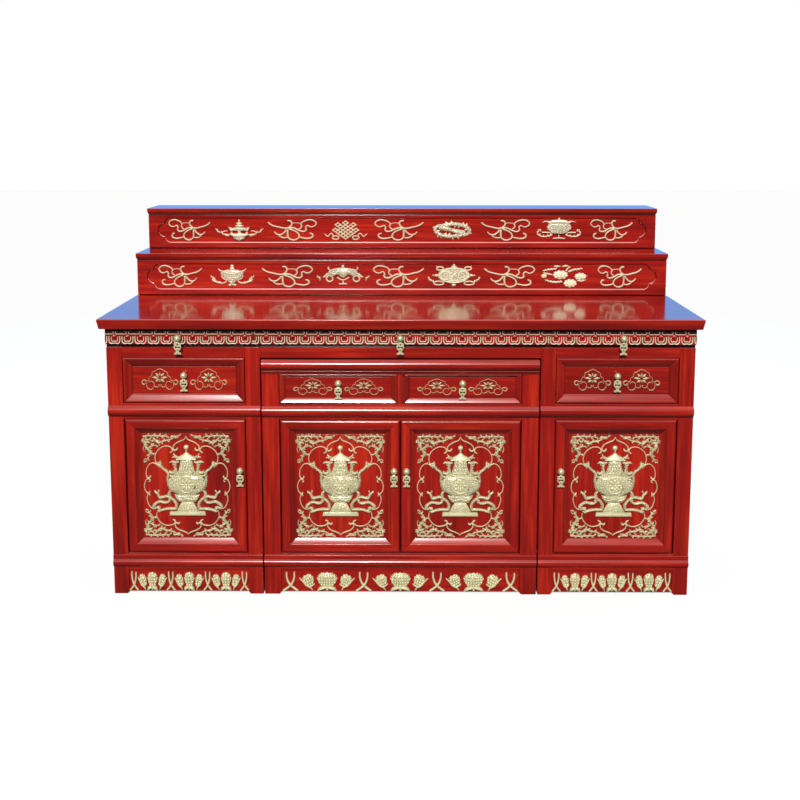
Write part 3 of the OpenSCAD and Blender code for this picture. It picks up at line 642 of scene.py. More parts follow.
HANDLES = (
    ((-63, 88, 2), (-55, 92, 4), (-41, 90, 5), (-28, 92, 4)),
    ((-52, 84, 2), (-44, 81, 3), (-38, 84, 2)),
    ((-48, 124, 1.2), (-43, 115, 3), (-32, 109, 3.4), (-24, 101, 3)),
    ((-38, 106, 2), (-44, 109, 2.4), (-50, 112, 1.2)),
    ((-38, 89, 4), (-43, 72, 4.4), (-40, 60, 5), (-52, 50, 5.4), (-65, 55, 5)),
    ((-108, 83, 3.4), (-97, 77, 5), (-86, 65, 4.6), (-74, 56, 5), (-68, 42, 5), (-72, 28, 4)),
    ((-96, 96, 2), (-99, 88, 3.4), (-106, 86, 3.6), (-108, 76, 3)),
    ((-38, 60, 4), (-40, 47, 5), (-52, 37, 4.4), (-63, 39, 3.4)),
    ((-72, 28, 4), (-70, 13, 4), (-67, -3, 4), (-59, -15, 3.6)),
    ((-59, -17, 4), (-68, -29, 5), (-63, -44, 5), (-50, -55, 5), (-41, -71, 5), (-44, -89, 4)),
    ((-122, -17, 1.6), (-116, -24, 3.4), (-108, -33, 4.4), (-103, -44, 5), (-88, -42, 5), (-74, -40, 4.6),
     (-65, -47, 4), (-68, -59, 4.4), (-83, -64, 5), (-100, -60, 5), (-115, -65, 5), (-125, -77, 6),
     (-123, -84, 4)),
    ((-110, -25, 2), (-104, -18, 2), (-108, -16, 1)),
    ((-43, -88, 4), (-63, -87, 5), (-83, -89, 5), (-99, -94, 5), (-108, -98, 4)),
    ((-112, -84, 4), (-104, -89, 4.4), (-107, -97, 4)),
    ((-119, -87, 3), (-110, -80, 3), (-101, -82, 2)),
)
LEAFY_HANDLES = (3, 4, 5, 8, 9, 10, 12)
ARCH = (
    ((-40, -5, 1.3), (-38, 6, 1.3), (-29, 13, 1.6), (-28, 23, 1.4), (-18, 29, 1.6), (-10, 34, 1.4),
     (0, 38, 1.7)),
    ((-40, -5, 1.3), (-48, -8, 1.6), (-56, -4, 2.2), (-64, -8, 3), (-64, -17, 3), (-56, -20, 2.4),
     (-52, -14, 1.6)),
    ((-42, -15, 1.2), (-35, -9, 1.5), (-25, -12, 1.7), (-21, -22, 1.7), (-25, -34, 1.7), (-36, -39, 1.8),
     (-46, -33, 1.7), (-50, -21, 1.6), (-48, -12, 1.3)),
    ((-21, -24, 1.3), (-15, -30, 1.5), (-7, -29, 1.5), (-2, -24, 1.6), (-6, -20, 1.4)),
)
LOTUS_PETALS = (
    ((-5, 3, 1), (-16, 5, 5.4), (-28, 6, 1)),
    ((-3, 8, 1), (-9, 15, 5), (-16, 21, 1)),
    ((0, 9, 1), (0, 17, 4.4), (0, 25, 1)),
    ((-3, -1, 1), (-10, -6, 5.6), (-17, -11, 1)),
    ((0, -1, 1), (0, -7, 4), (0, -13, 1)),
)
RIBBON = (
    ((107, 35, 3.4), (92, 23, 3.2), (61, 14, 3), (24, 9, 3), (9, 17, 3), (2, 29, 3.2), (8, 41, 3.4),
     (21, 43, 3)),
    ((0, 32, 1.6), (-16, 33, 1.3), (-35, 31, 1.6)),
    ((-36, 25, 2.4), (-43, 35, 2.6), (-61, 44, 2.8), (-86, 46, 2.8), (-101, 38, 3), (-105, 29, 2.8),
     (-95, 18, 2.6), (-80, 15, 2.4), (-66, 21, 2.6), (-59, 12, 2.8), (-61, 1, 3), (-49, -6, 3),
     (-34, -3, 3), (-18, 5, 2.8), (0, 11, 2.8), (16, 8, 3)),
    ((-35, 29, 2.4), (-41, 20, 2.6), (-38, 11, 2.6), (-28, 5, 2)),
    ((14, 5, 3), (-9, -3, 2.8), (-26, -16, 3), (-29, -31, 3), (-15, -43, 3), (3, -44, 3), (17, -36, 3.2),
     (21, -18, 3.6), (20, 4, 3.6)),
    ((-32, -32, 2.6), (-55, -37, 3), (-76, -37, 3.2), (-90, -28, 3.4), (-87, -18, 3.2), (-76, -14, 2.4)),
    ((26, 2, 3), (37, -12, 3.2), (55, -21, 3), (70, -18, 3), (80, -7, 2.4)),
    ((61, -25, 2), (43, -34, 2.8), (23, -34, 2.4)),
)

# Outlines of the vase, each a ring of (x, z) in millimetres

VASE_LID = ((-11, 121), (-3, 129), (3, 129), (11, 121), (33, 109), (37, 101), (-37, 101), (-34, 109))
VASE_NECK = ((-22, 101), (22, 101), (24, 81), (30, 60), (40, 43), (48, 34), (-48, 34), (-40, 43),
             (-30, 60), (-24, 81))
VASE_BODY = ((-47, 39), (48, 39), (61, 32), (71, 19), (70, 1), (60, -16), (40, -27), (24, -37), (-24, -37),
             (-40, -27), (-60, -16), (-70, 1), (-71, 19), (-61, 32))
VASE_BOWL = ((-47, -30), (-30, -34), (30, -34), (47, -30), (42, -44), (31, -59), (-31, -59), (-42, -44))
VASE_FOOT = ((-20, -58), (20, -58), (42, -98), (-42, -98))
VASE_PLATE = ((-64, -97), (64, -97), (67, -112), (-67, -112))

# What the carvings share: how a pad is rounded over, and the size of a lotus's small petals

SOFT = ((1.6, 1), (2.4, 0.8))
THIN = ((0.8, 0.6),)
SCALE = 9.5


def ring(half_x, half_z, half, x=0, z=0, points=12):
    """A closed stroke round an oval, with its end laid over its start"""
    turns = [2 * math.pi * i / points for i in range(points + 1)]
    return tuple((x + half_x * math.cos(t), z + half_z * math.sin(t), half) for t in turns)


def bow(*right):
    """A stroke with two like halves, from its right half, which starts in the middle"""
    return (*((-x, z, half) for x, z, half in reversed(right) if x > 0), *right)


def rays(count, near, far, half, x, z):
    """Petal strokes that point outwards from a middle"""
    out = []
    for i in range(count):
        t = 2 * math.pi * i / count
        steps = ((near, 0.35), ((near + far) / 2, 1.0), (far, 0.3))
        out.append(tuple((x + r * math.cos(t), z + r * math.sin(t), half * k) for r, k in steps))
    return out


def leafy(stroke, size, plump=1.0):
    """Small leaves that grow by turns from both sides of a stroke"""
    out = []
    step, along, aside, bend = 0.8 * size, 0.5, 0.85, 0.12
    for i, (p, q) in enumerate(zip(stroke, stroke[1:])):
        length = math.hypot(q[0] - p[0], q[1] - p[1])
        dx, dz = (q[0] - p[0]) / length, (q[1] - p[1]) / length
        for k in range(max(1, round(length / step))):
            side = 1 if (i + k) % 2 else -1
            x, z = p[0] + dx * (k + 0.5) * step, p[1] + dz * (k + 0.5) * step
            tip_x = x + (dx * along - side * dz * aside) * size
            tip_z = z + (dz * along + side * dx * aside) * size
            middle = ((x + tip_x) / 2 + dx * bend * size, (z + tip_z) / 2 + dz * bend * size)
            out.append(((x, z, size * 0.2), (*middle, size * 0.27 * plump),
                        (tip_x, tip_z, size * 0.06 * plump)))
    return out


def swag(carving, leaf, plain, *strokes):
    """Strokes at both sides of an emblem: the first ones are plain and the others have leaves"""
    carving.lines(strokes, both=True, rise=0.9)
    carving.lines([s for stroke in strokes[plain:] for s in leafy(stroke, leaf)], both=True, steps=2)


def slanted(x, z, across, up, turn):
    """A place that lies across and up from (x, z) when both directions are turned"""
    c, s = math.cos(turn), math.sin(turn)
    return x + across * c + up * s, z + up * c - across * s


def scales(carving, x, z, half_x, half_z, rise, size, turn=0.0):
    """Overlapping rows of small petals over a dome"""
    rows = max(2, round(1.8 * half_z / size))
    for row in range(rows):
        up = -0.8 + 1.64 * row / (rows - 1)
        wide = 0.92 * math.sqrt(1 - abs(up) ** 4)
        count = max(1, round(2 * wide * half_x / size))
        for k in range(count):
            across = ((k + 0.5) / count * 2 - 1) * wide
            height = rise * math.sqrt(max(0.0, 1 - across * across - up * up))
            place = slanted(x, z, across * half_x, up * half_z, turn)
            carving.bead(
                *place, size * 0.45, size * 0.6, 3, lift=height, turn=turn + across * 0.7, rings=4, around=7)


def rosette(carving, x, z, half_x, half_z):
    """A full flower: two rings of petals round a ball"""
    for count, reach, lift in ((9, 0.72, 0.6), (6, 0.4, 2.2)):
        for i in range(count):
            t = 2 * math.pi * (i + lift) / count
            carving.bead(x + reach * half_x * math.cos(t), z + reach * half_z * math.sin(t), half_x * 0.3,
                         half_z * 0.34, 2.6, lift=lift, rings=4, around=8)
    carving.bead(x, z, half_x * 0.22, half_z * 0.26, 3, lift=2.6)


def mirrored(right):
    """A whole outline from its right half, which runs from the top to the foot"""
    return tuple(right) + tuple((-x, z) for x, z in reversed(right) if x > 0)


def carved(draw):
    """Turns a function that draws on a carving into one that returns the carving's mesh"""
    def made(*sizes):
        carving = Carving()
        draw(carving, *sizes)
        return carving.mesh(draw.__name__)
    return made


@carved
def door_carving(carving):
    """Treasure vase with its ribbons, in a lobed cartouche with four leafy corners"""
    carving.lines(CARTOUCHE, both=True, rise=1.0, sides=2)
    leaves = [leaf for s in SPANDREL[:8] for leaf in leafy(s, 13, 1.15)]
    for up in (1, -1):
        for strokes, wide in ((SPANDREL, 0.8), (leaves, 1.0)):
            corner = [tuple((x, up * z, half) for x, z, half in s) for s in strokes]
            carving.lines(corner, wide=wide, both=True, steps=2, rise=0.9, chased=0.5)
    carving.lines(HANDLES, both=True, wide=1.15, rise=0.9, sides=2, chased=0.5)
    fringe = [leaf for i in LEAFY_HANDLES for leaf in leafy(HANDLES[i], 8, 1.3)]
    carving.lines(fringe, both=True, steps=2, chased=0.4)
    draw_vase(carving)


def draw_vase(carving):
    """The vase of a door: a lid with a jewel, a collar of beads, a wheel of petals and a tall foot"""
    soft = ((2, 1.2), (3, 1.2))
    for outline, rise, crown, chased in (
            (VASE_LID, 3.5, soft, 0), (VASE_NECK, 4, soft, 0.75), (VASE_BODY, 5, (*soft, (6, 1)), 0.75),
            (VASE_BOWL, 4.5, soft, 0.75), (VASE_FOOT, 3.5, soft, 0.5), (VASE_PLATE, 4.5, soft[:1], 0)):
        carving.pad(outline, rise, crown, chased=chased)
    carving.bead(0, 147, 10, 10, 5)
    carving.lines([((0, 128, 4), (0, 140, 2.4), (0, 160, 1.5))], rise=0.9, sides=2)
    top, middle = 8, 8
    carving.lines([ring(31, 30, 2.4, z=middle)], lift=top, sides=2, steps=2)
    carving.lines(rays(8, 5, 26, 4.4, 0, middle), lift=top - 0.6, sides=2, steps=2, rise=0.9)
    carving.bead(0, middle, 5, 5, 3, lift=top + 1)
    for z, half in ((92, 19), (79, 21), (66, 24), (53, 30)):
        count = round(half / 5)
        for k in range(count):
            carving.bead(((k + 0.5) / count * 2 - 1) * half, z, 4.4, 5, 2, lift=5.4, rings=4, around=7)
    shoulder = (((30, 34, 2), (38, 24, 3), (36, -2, 3), (28, -20, 2)), ring(11, 15, 2.6, 52, 9),
                ((64, 26, 2), (58, 32, 2.4), (44, 33, 2)))
    for side in (1, -1):
        carving.lines([tuple((side * x, z, half) for x, z, half in s) for s in shoulder],
                      lift=6, sides=2, steps=2)
    carving.lines([bow((0, 103, 3), (36, 103, 2.6)), bow((0, 40, 2.4), (46, 36, 2)),
                   bow((0, -34, 2.2), (30, -33, 2)), bow((0, -98, 1.8), (64, -98, 1.6)),
                   bow((0, -44, 2), (20, -50, 2.4), (40, -42, 2))], lift=5.5, sides=2, steps=2)


@carved
def lotus_carving(carving):
    """A lotus under a lobed arch with scrolled ends"""
    carving.lines(ARCH, both=True, wide=0.85, rise=1.5)
    carving.lines(LOTUS_PETALS, both=True, rise=0.9)


@carved
def ribbon_carving(carving):
    """A knotted ribbon whose ends curl"""
    carving.lines(RIBBON, wide=1.3, rise=1.0)


@carved
def urn_emblem(carving):
    """An urn on a wide dish, with a lid of three tiers"""
    body = ((0, 13), (18, 12), (34, 8), (47, 16), (40, 0), (34, -5), (20, -2), (8, -3), (0, -5))
    dish = ((0, -9), (9, -13), (22, -15), (36, -12), (41, -20), (27, -27), (22, -36), (8, -43), (0, -44))
    for outline in (body, dish):
        carving.pad(mirrored(outline), 4, SOFT, chased=1)
    for z, half, tall in ((39, 5, 6), (28, 14, 6), (18, 19, 5), (-8, 8, 6)):
        carving.bead(0, z, half, tall, 5, chased=0.5)
    carving.lines([((s * 30, -6, 3.4), (s * 33, -10, 3.4), (s * 30, -14, 3.4)) for s in (-1, 1)])
    carving.lines([bow((0, 8, 2.6), (20, 6, 2.6), (44, 12, 2.2)), bow((0, -26, 2.8), (34, -20, 2.2)),
                   bow((0, -37, 2.4), (18, -34, 2))], lift=4.6)
    swag(
        carving, 7, 2,
        ((-35, -21, 3), (-57, -18, 3.2), (-73, -14, 3), (-66, -5, 2.8), (-50, -4, 2)),
        ((-44, -26, 1.6), (-54, -24, 2.4), (-66, -20, 1.6)),
        ((-70, -8, 2.4), (-84, -9, 2.8), (-94, -3, 2.6), (-98, 5, 1.4)))


@carved
def knot_emblem(carving):
    """Endless knot: a lattice of strands round rows of holes, with a loop at each lower side"""
    across, up = 11, 7.7
    rows = {4: (0,), 3: (-3, 3), 2: (-2, 0, 2), 1: (-1, 1), 0: (-4, -2, 0, 2, 4), -1: (-3, -1, 1, 3),
            -2: (-2, 0, 2), -3: (-1, 1), -4: (0,)}
    strands = set()
    for j, places in rows.items():
        for i in places:
            corners = ((i + 1, j), (i, j + 1), (i - 1, j), (i, j - 1))
            strands |= {tuple(sorted((a, b))) for a, b in zip(corners, corners[1:] + corners[:1])}
    for a, b in sorted(strands):
        lift = 0.4 if (b[0] - a[0]) * (b[1] - a[1]) > 0 else 0
        carving.lines([tuple((x * across, z * up, 2.9) for x, z in (a, b))], steps=1, rise=1.1, lift=lift)
    for i, j in sorted({corner for strand in strands for corner in strand}):
        carving.bead(i * across, j * up, 4.2, 3.4, 4, rings=4, around=8)
    tail = ((-52, -26, 3), (-60, -14, 3), (-68, -18, 3), (-76, -27, 3), (-84, -22, 2.6), (-92, -14, 1.4))
    swag(carving, 6, 2, ring(14, 7.5, 3, -43, -32), tail)


@carved
def fish_emblem(carving):
    """Two fish that curl about each other"""
    body = ((40, -24, 3), (62, -18, 7), (74, -2, 9), (58, 15, 9), (26, 25, 8.5), (-10, 26, 8.5),
            (-40, 21, 7), (-58, 13, 5))
    head = ((-56, 8, 5), (-38, 10, 9), (-18, 6, 10), (2, -1, 7), (12, -6, 2.4))
    fins = leafy(body[1:], 18) + leafy(head, 13)
    for side in (1, -1):
        back, face, spines = (
            [tuple((side * x, side * z, half) for x, z, half in s) for s in strokes]
            for strokes in ([body], [head], fins))
        carving.lines(back, rise=0.6, sides=2, chased=1)
        carving.lines(face, rise=0.6, lift=0.6, sides=2, chased=1)
        carving.lines(spines, steps=2)
        carving.bead(side * -25, side * 6, 27, 11, 5, turn=0.14, chased=1)
        carving.bead(side * -30, side * 9, 2.6, 2.6, 2, lift=5)
        for k, z in enumerate((10, 18, 23, 26, 26, 25, 23, 20, 16)):
            carving.bead(side * (66 - 13 * k), side * z, 5, 4, 2, lift=4.4, rings=4, around=7)


@carved
def canopy_emblem(carving):
    """A canopy under a low roof, on a short stem"""
    body = ((0, 31), (44, 31), (46, 24), (53, 16), (49, 4), (40, -1), (37, -9), (22, -13), (0, -16))
    carving.pad(mirrored(body), 4, (*SOFT, (4, 0.8)), chased=1)
    carving.pad(mirrored(((0, 46), (28, 43), (50, 35), (44, 31), (0, 33))), 5, ((1.4, 1),))
    carving.bead(0, 50, 4.5, 5, 4)
    carving.lines([((0, -14, 2.6), (0, -31, 2.2)), bow((0, -33, 3.6), (26, -35, 2.6))])
    carving.lines([bow((0, 22, 2), (22, 16, 2.6), (42, 22, 2)), bow((0, 8, 2), (24, 0, 2.6), (48, 8, 2))],
                  lift=4.6)
    swag(
        carving, 8, 2,
        ((-40, 36, 3), (-54, 38, 3.4), (-72, 34, 1.2)), ((-28, -12, 3.2), (-50, -9, 3), (-72, -9, 3)),
        ((-28, -19, 3.2), (-54, -26, 3.4), (-80, -24, 3.2), (-91, -14, 3), (-86, 0, 2)),
        ((-76, -4, 2.4), (-84, 4, 2)))


@carved
def chalice_emblem(carving):
    """A round chalice on three toes, with a lid of two tiers"""
    bowl = ((0, 29), (22, 28), (40, 23), (48, 14), (40, 1), (27, -11), (13, -23), (6, -31), (0, -32))
    carving.pad(mirrored(bowl), 3, ((2, 1.2), (3, 1), (4, 0.6)), chased=1)
    for x, z, half, tall, rise in ((0, 43, 7, 6, 4), (0, 33, 10, 5, 4), (-10, -35, 7, 4.6, 5),
                                   (10, -35, 7, 4.6, 5), (0, -32, 7, 4.6, 5)):
        carving.bead(x, z, half, tall, rise)
    carving.lines([bow((0, 12, 3), (38, 20, 2.4)), bow((0, -6, 2.6), (28, 2, 2))], lift=4.6)
    swag(
        carving, 8, 2,
        ((-40, 22, 3.2), (-50, 24, 3.2), (-57, 32, 2)),
        ((-45, 4, 3), (-38, -8, 3), (-24, -17, 3), (-30, -25, 3.2), (-48, -29, 3.2)),
        ((-46, -27, 4), (-62, -24, 4.6), (-78, -17, 3.6), (-84, -10, 2)),
        ((-89, 5, 1.2), (-80, -6, 2.2), (-68, -16, 2.4)))


@carved
def parasol_emblem(carving):
    """A parasol with a lobed edge, on a short stem"""
    dome = ((0, 38), (22, 35), (44, 31), (58, 24), (60, 8), (46, 2), (38, 1), (28, 8), (20, 9), (10, 0),
            (0, -4))
    carving.pad(mirrored(dome), 3.4, ((1.6, 1), (1.6, 0.8)), chased=1)
    carving.bead(0, 43, 5, 6, 4)
    rim, edge = bow((0, 34, 2.8), (30, 31, 2.8), (54, 25, 2.4)), bow((0, 12, 2.4), (14, 20, 2.6), (30, 16, 2))
    carving.lines([rim, edge], lift=4.2)
    carving.lines([((0, -13, 2.8), (0, -29, 2.2)), bow((0, -30, 3.6), (17, -31, 2.4))])
    swag(
        carving, 8, 3,
        ring(13, 12, 3.6, -55, -9), ((-25, -3, 3.4), (-12, -11, 3.2), (0, -15, 2.6)),
        ((-54, 28, 3), (-61, 34, 3), (-57, 40, 1.4)), ((-58, 12, 3.6), (-70, 6, 4), (-79, -4, 3)),
        ((-107, 5, 1.2), (-101, -3, 2.4), (-93, -11, 1.2)))


@carved
def wheel_emblem(carving):
    """Wheel between two scrolls, with a jewel above and a leaf on each side"""
    middle = 5
    oval = tuple((x, z) for x, z, half in ring(66, 34, 0, 0, middle, 24)[:-1])
    carving.pad(oval, 3, ((2, 1.2), (3, 0.8), (6, 0.6)), chased=1)
    carving.lines([ring(60, 29, 3, 0, middle)], lift=4.4)
    carving.lines([ring(18, 17, 3, side * 35, middle) for side in (-1, 1)], lift=4.8)
    spokes = [s for side in (-1, 1) for s in rays(6, 3, 13, 2.6, side * 35, middle)]
    carving.lines(spokes, lift=4.4, steps=2)
    cross = ((24, 28, 2), (10, 16, 3.4), (0, 8, 3.4), (-10, -8, 3.4), (-26, -22, 2))
    crossed = tuple((-x, z, half) for x, z, half in cross)
    carving.lines([crossed, cross, bow((0, -14, 3), (20, -20, 2))], lift=4.8)
    carving.bead(0, 8, 6, 5, 3, lift=6)
    for x, z, half, tall in ((0, 39, 12, 8), (0, 47, 5, 6), (0, -34, 10, 7), (-72, 5, 8, 6), (72, 5, 8, 6),
                             (-84, 5, 5, 3.4), (84, 5, 5, 3.4)):
        carving.bead(x, z, half, tall, 5, chased=0.6)
    swag(
        carving, 9, 3,
        ring(14, 7, 3.2, -57, 33), ((-66, 38, 3), (-72, 44, 1.4)), ring(21, 7.5, 3.2, -62, -27),
        ((-82, -24, 3), (-94, -14, 3), (-108, -4, 1.4)))


@carved
def flower_emblem(carving):
    """A cluster of three full flowers with long leaves, and a bud"""
    for x, z, half, tall in ((-19, 8, 32, 18), (63, 1, 25, 15), (22, -27, 28, 17), (-86, 3, 12, 9)):
        rosette(carving, x, z, half, tall)
    leaves = (((-46, 43, 2), (-33, 43, 4.4), (-20, 42, 2)), ((-12, 41, 2), (2, 45, 4.4), (16, 42, 2)),
              ((-91, 25, 1.6), (-62, 30, 3.6), (-36, 33, 2.4)), ((-90, 16, 2), (-72, 12, 4.2), (-54, 8, 3)),
              ((14, 20, 4), (36, 29, 4.2), (54, 31, 3.2), (70, 35, 1.4)),
              ((4, 22, 3.4), (10, 34, 3.2), (22, 40, 1.6)),
              ((-82, -12, 1.8), (-62, -20, 3.8), (-40, -22, 3.8), (-12, -20, 3)),
              ((50, -14, 2.4), (66, -18, 3), (86, -12, 1.2)), ((80, 6, 2.4), (92, 2, 1.2)))
    carving.lines(leaves)
    carving.lines([s for stroke in leaves[2:7:2] for s in leafy(stroke, 7)], steps=2)


def petal_cup(half, tall, tips, x, z, turn=0.0):
    """Outline of a cup of petals, pointed along the top and round underneath"""
    places = []
    for i in range(2 * tips + 1):
        t = math.radians(8 + 164 * i / (2 * tips))
        reach = 0.86 if i % 2 else 1.08
        c, s = math.cos(t), math.sin(t)
        places.append((half * reach * math.copysign(abs(c) ** 0.75, c), tall * reach * s ** 0.8))
    for i in range(1, 9):
        t = math.radians(172 + 196 * i / 9)
        c = math.cos(t)
        places.append((half * 0.96 * math.copysign(abs(c) ** 0.55, c), tall * 0.94 * math.sin(t)))
    return [slanted(x, z, across, up, turn) for across, up in places]


@carved
def apron_lotus(carving, half):
    """A lotus of many small petals, over a foot of two bright leaves"""
    tall, z = 26, 6
    carving.pad(petal_cup(half, tall, 10, 0, z + 1), 2, THIN)
    # The dome under the scales is dimmed: painted shade between the scales
    carving.bead(0, z, half * 0.88, tall * 0.8, 5, rings=8, bright=0.6)
    scales(carving, 0, z, half, tall, 5, SCALE)
    for side in (1, -1):
        leaf = ((0, -22, 5), (side * half * 0.4, -24, 7.5), (side * half * 0.72, -28, 7.5),
                (side * half * 0.98, -37, 3))
        carving.lines([leaf], lift=2.5, sides=2, rise=1.0)
    carving.bead(0, -31, half * 0.13 + 1.4, 6, 8)


@carved
def apron_bud(carving, narrow):
    """A half-open bud on a slanting calyx, for the left of a lotus"""
    turn = -0.45 * narrow
    half, tall, x, z = 18 * narrow + 2, 21, 3 * narrow, 4
    carving.pad(petal_cup(half, tall, 5, x, z + 1, turn), 2, THIN)
    # The dome under the scales is dimmed: painted shade between the scales
    carving.bead(x, z, half * 0.86, tall * 0.8, 4, turn=turn, bright=0.6)
    scales(carving, x, z, half * 0.94, tall * 0.92, 4, SCALE, turn)
    calyx = ((-31, 13, 1.6), (-22, 5, 3.4), (-13, -5, 4.2), (-4, -16, 4.4), (11, -24, 4), (19, -36, 1.6))
    leaf = ((27, -8, 1.8), (20, -15, 3.6), (8, -20, 3.8))
    carving.lines([tuple((x * narrow, z, half) for x, z, half in s) for s in (calyx, leaf)],
                  sides=2, rise=1.0, lift=1.5)


@carved
def apron_ribbon(carving, narrow):
    """Two upright ribbons that cross above their flared ends"""
    ribbon = ((-14.5, 35, 3.4), (-14, 14, 4), (-5, -10, 4.4), (5, -21, 4.6), (27, -37, 4.4))
    for side, lift in ((1, 0), (-1, 1.2)):
        stroke = tuple((side * x * narrow, z, half * (0.55 + 0.45 * narrow)) for x, z, half in ribbon)
        carving.lines([stroke], sides=2, rise=0.8, lift=lift)


@carved
def petal_carving(carving):
    """One petal of the frieze: two nested bows"""
    outer = bow((0, 4.8, 2.2), (8, 3.2, 2.6), (15, 4.6, 2.6), (19.3, 12, 2.2), (19.3, 30, 2))
    inner = bow((0, 13, 1.5), (4, 10.6, 1.8), (8.5, 12, 1.8), (11, 17, 1.7), (11, 28, 1.6))
    carving.lines([outer, inner], steps=2, rise=1.0)


@carved
def ball_mesh(carving, half):
    """A red ball, with a painted highlight above and painted shade below"""
    carving.bead(0, 0, half, half, half * 0.6, rings=8, around=12)
    gleam, dusk = (carving.shape.verts.layers.float.new(name) for name in ("gleam", "dusk"))
    for v in carving.shape.verts:
        v[gleam] = max(0.0, 0.9 * v.co.z / half)
        v[dusk] = max(0.0, -0.8 * v.co.z / half)


@carved
def bracket_carving(carving, pitch):
    """One shallow pan of the row over the petals, open at the top"""
    end = pitch / 2 - 4.2
    pan = bow((0, 38, 1.8), (end - 2, 38.2, 1.6), (end, 41, 1.3), (end - 1, 47.5, 0.9), (end - 8, 48.5, 0.8))
    carving.lines([pan], steps=2, rise=1.0)


@carved
def shade_mesh(carving, wide):
    """Painted shadow: a dark sheet behind the row of pans, where the table top's shade falls"""
    low, high = 40, 57.6
    carving.pad(((0, low), (wide, low), (wide, high), (0, high)), 0.2)


def front_box(node):
    """Corners, in millimetres, of the foremost flat face of one piece of the frame"""
    points = [v.co / MM for v in frame["nodes"][node].data.vertices]
    face = min(p.y for p in points)
    flat = [p for p in points if p.y < face + 0.05]
    return (Vector((min(p.x for p in flat), face, min(p.z for p in flat))),
            Vector((max(p.x for p in flat), face, max(p.z for p in flat))))


# Rounding of the edges: of a step's field, of lacquer and of hidden wood, as shares of the setting

FIELD_EDGE, LACQUER_EDGE, HIDDEN_EDGE = 3.1, 1.0, 0.5
DROP_EDGE = 0.4 * MM

# Places of the carving, in millimetres

# The steps: depth and middle of the sunk fields, whose carving sits a little to the left of the middle
FIELD_DEPTH, FIELD_MIDDLE = 4, 77
EMBLEM_PITCH, EMBLEM_SHIFT = 227.4, -12
END_PITCH, END_SHIFT = 225, -7
RIBBON_WIDTH, END_RIBBON_WIDTH, RIBBON_HEIGHT = 0.97, 0.83, 0.94

# The frieze: side, number of petals, distance of the first petal from its end, direction of counting
FRIEZE = (("left", 12, 22.5, -1), ("centre", 24, 5.0, 1), ("right", 12, 22.5, 1))
PETAL_PITCH = 47.1
BALL_HALF, BALL_HEIGHT, BALL_ROOM = 7.2, 29, 6
BAND_GAP, SHADE_GAP = 0.3, 0.5

# The drawers: name, half the distance between two lotuses, drop under the ball, width and height
DRAWERS = (("drawer", 89, 15, 1, 1), ("centre_drawer", 93, 14, 1.06, 0.76))
BOSS_BALL = 12.5

# The doors: depth of the panels behind the frames
PANEL_DEPTH = 12

# The aprons: side, node, middle, pitch of the lotuses, half of one, narrowing, distance of a bud
APRONS = (
    ("left", "aprons", -787.5, 137.5, 18, 0.55, 37),
    ("centre", "centre_apron", 0, 273, 36, 1.0, 73),
    ("right", "aprons", 787.5, 137.5, 18, 0.55, 37),
)
APRON_MIDDLE = 41


# The stage, in metres: the floor's glow is left out under the altar, a painted shadow, and the camera is the
# photograph's

FLOOR_HALF = 30
# Half sizes and fade of the painted shadow on the floor under the altar
PAINTED_SHADOW_HALF_X, PAINTED_SHADOW_HALF_Y, PAINTED_SHADOW_FADE = 1.05, 0.48, 40
FLOOR_GLOW = (0.86, 0.86, 0.86)
SKY, SKY_STRENGTH = (0.88, 0.92, 1.0, 1), 0.09
CAMERA_PLACE = (0.030365, -4.5768, 1.703234)
CAMERA_YAW, CAMERA_PITCH = -0.00772036, 0.14018824
CAMERA_SENSOR, CAMERA_SHIFT = 36, -0.13125

# Each lamp: name, kind, place, aim, size in metres or radians, power, colour
LAMPS = (
    ("key", "SUN", (-0.3, -4.2, 2.95), (0, 0, 0.4), math.radians(5), 3.45, (1.0, 0.97, 0.94)),
    ("over", "AREA", (0.0, -0.9, 4.2), (0, 0, 0.6), 3.6, 30, (0.93, 0.96, 1.0)),
    ("left end", "AREA", (-6.0, 0.6, 2.2), (0, 0, 0.8), 3.0, 45, (1.0, 1.0, 1.0)),
    ("right end", "AREA", (6.0, 0.6, 2.2), (0, 0, 0.8), 3.0, 45, (1.0, 1.0, 1.0)),
    ("back", "AREA", (0.0, 4.6, 0.4), (0, 0, 0.8), 0.8, 45, (1.0, 1.0, 1.0)),
    ("behind", "AREA", (0.0, 5.5, 2.2), (0, 0, 1.2), 6.0, 105, (0.08, 0.43, 1.0)),
)


# Operators, in the order in which they run


class ALTAR_OT_boards(bpy.types.Operator):
    """Finishes every board, panel and moulding of the table, the steps, the drawers and the doors"""

    bl_idname = "altar.boards"
    bl_label = "Boards and mouldings"

    def execute(self, context):
        edge = context.scene.altar_lacquer.edge
        for node, slot in SLOT_OF.items():
            if node.endswith("step_case"):
                shaped(node, edge * FIELD_EDGE)
            elif slot != GILT_SLOT:
                shaped(node, edge * (LACQUER_EDGE if slot == LACQUER_SLOT else HIDDEN_EDGE))
        return {"FINISHED"}


class ALTAR_OT_pulls(bpy.types.Operator):
    """Finishes the balls and the pierced drops of the pulls"""

    bl_idname = "altar.pulls"
    bl_label = "Pulls"

    def execute(self, context):
        for node, slot in SLOT_OF.items():
            if slot == GILT_SLOT:
                shaped(node, DROP_EDGE if node.startswith("drop") else 0.0)
        return {"FINISHED"}


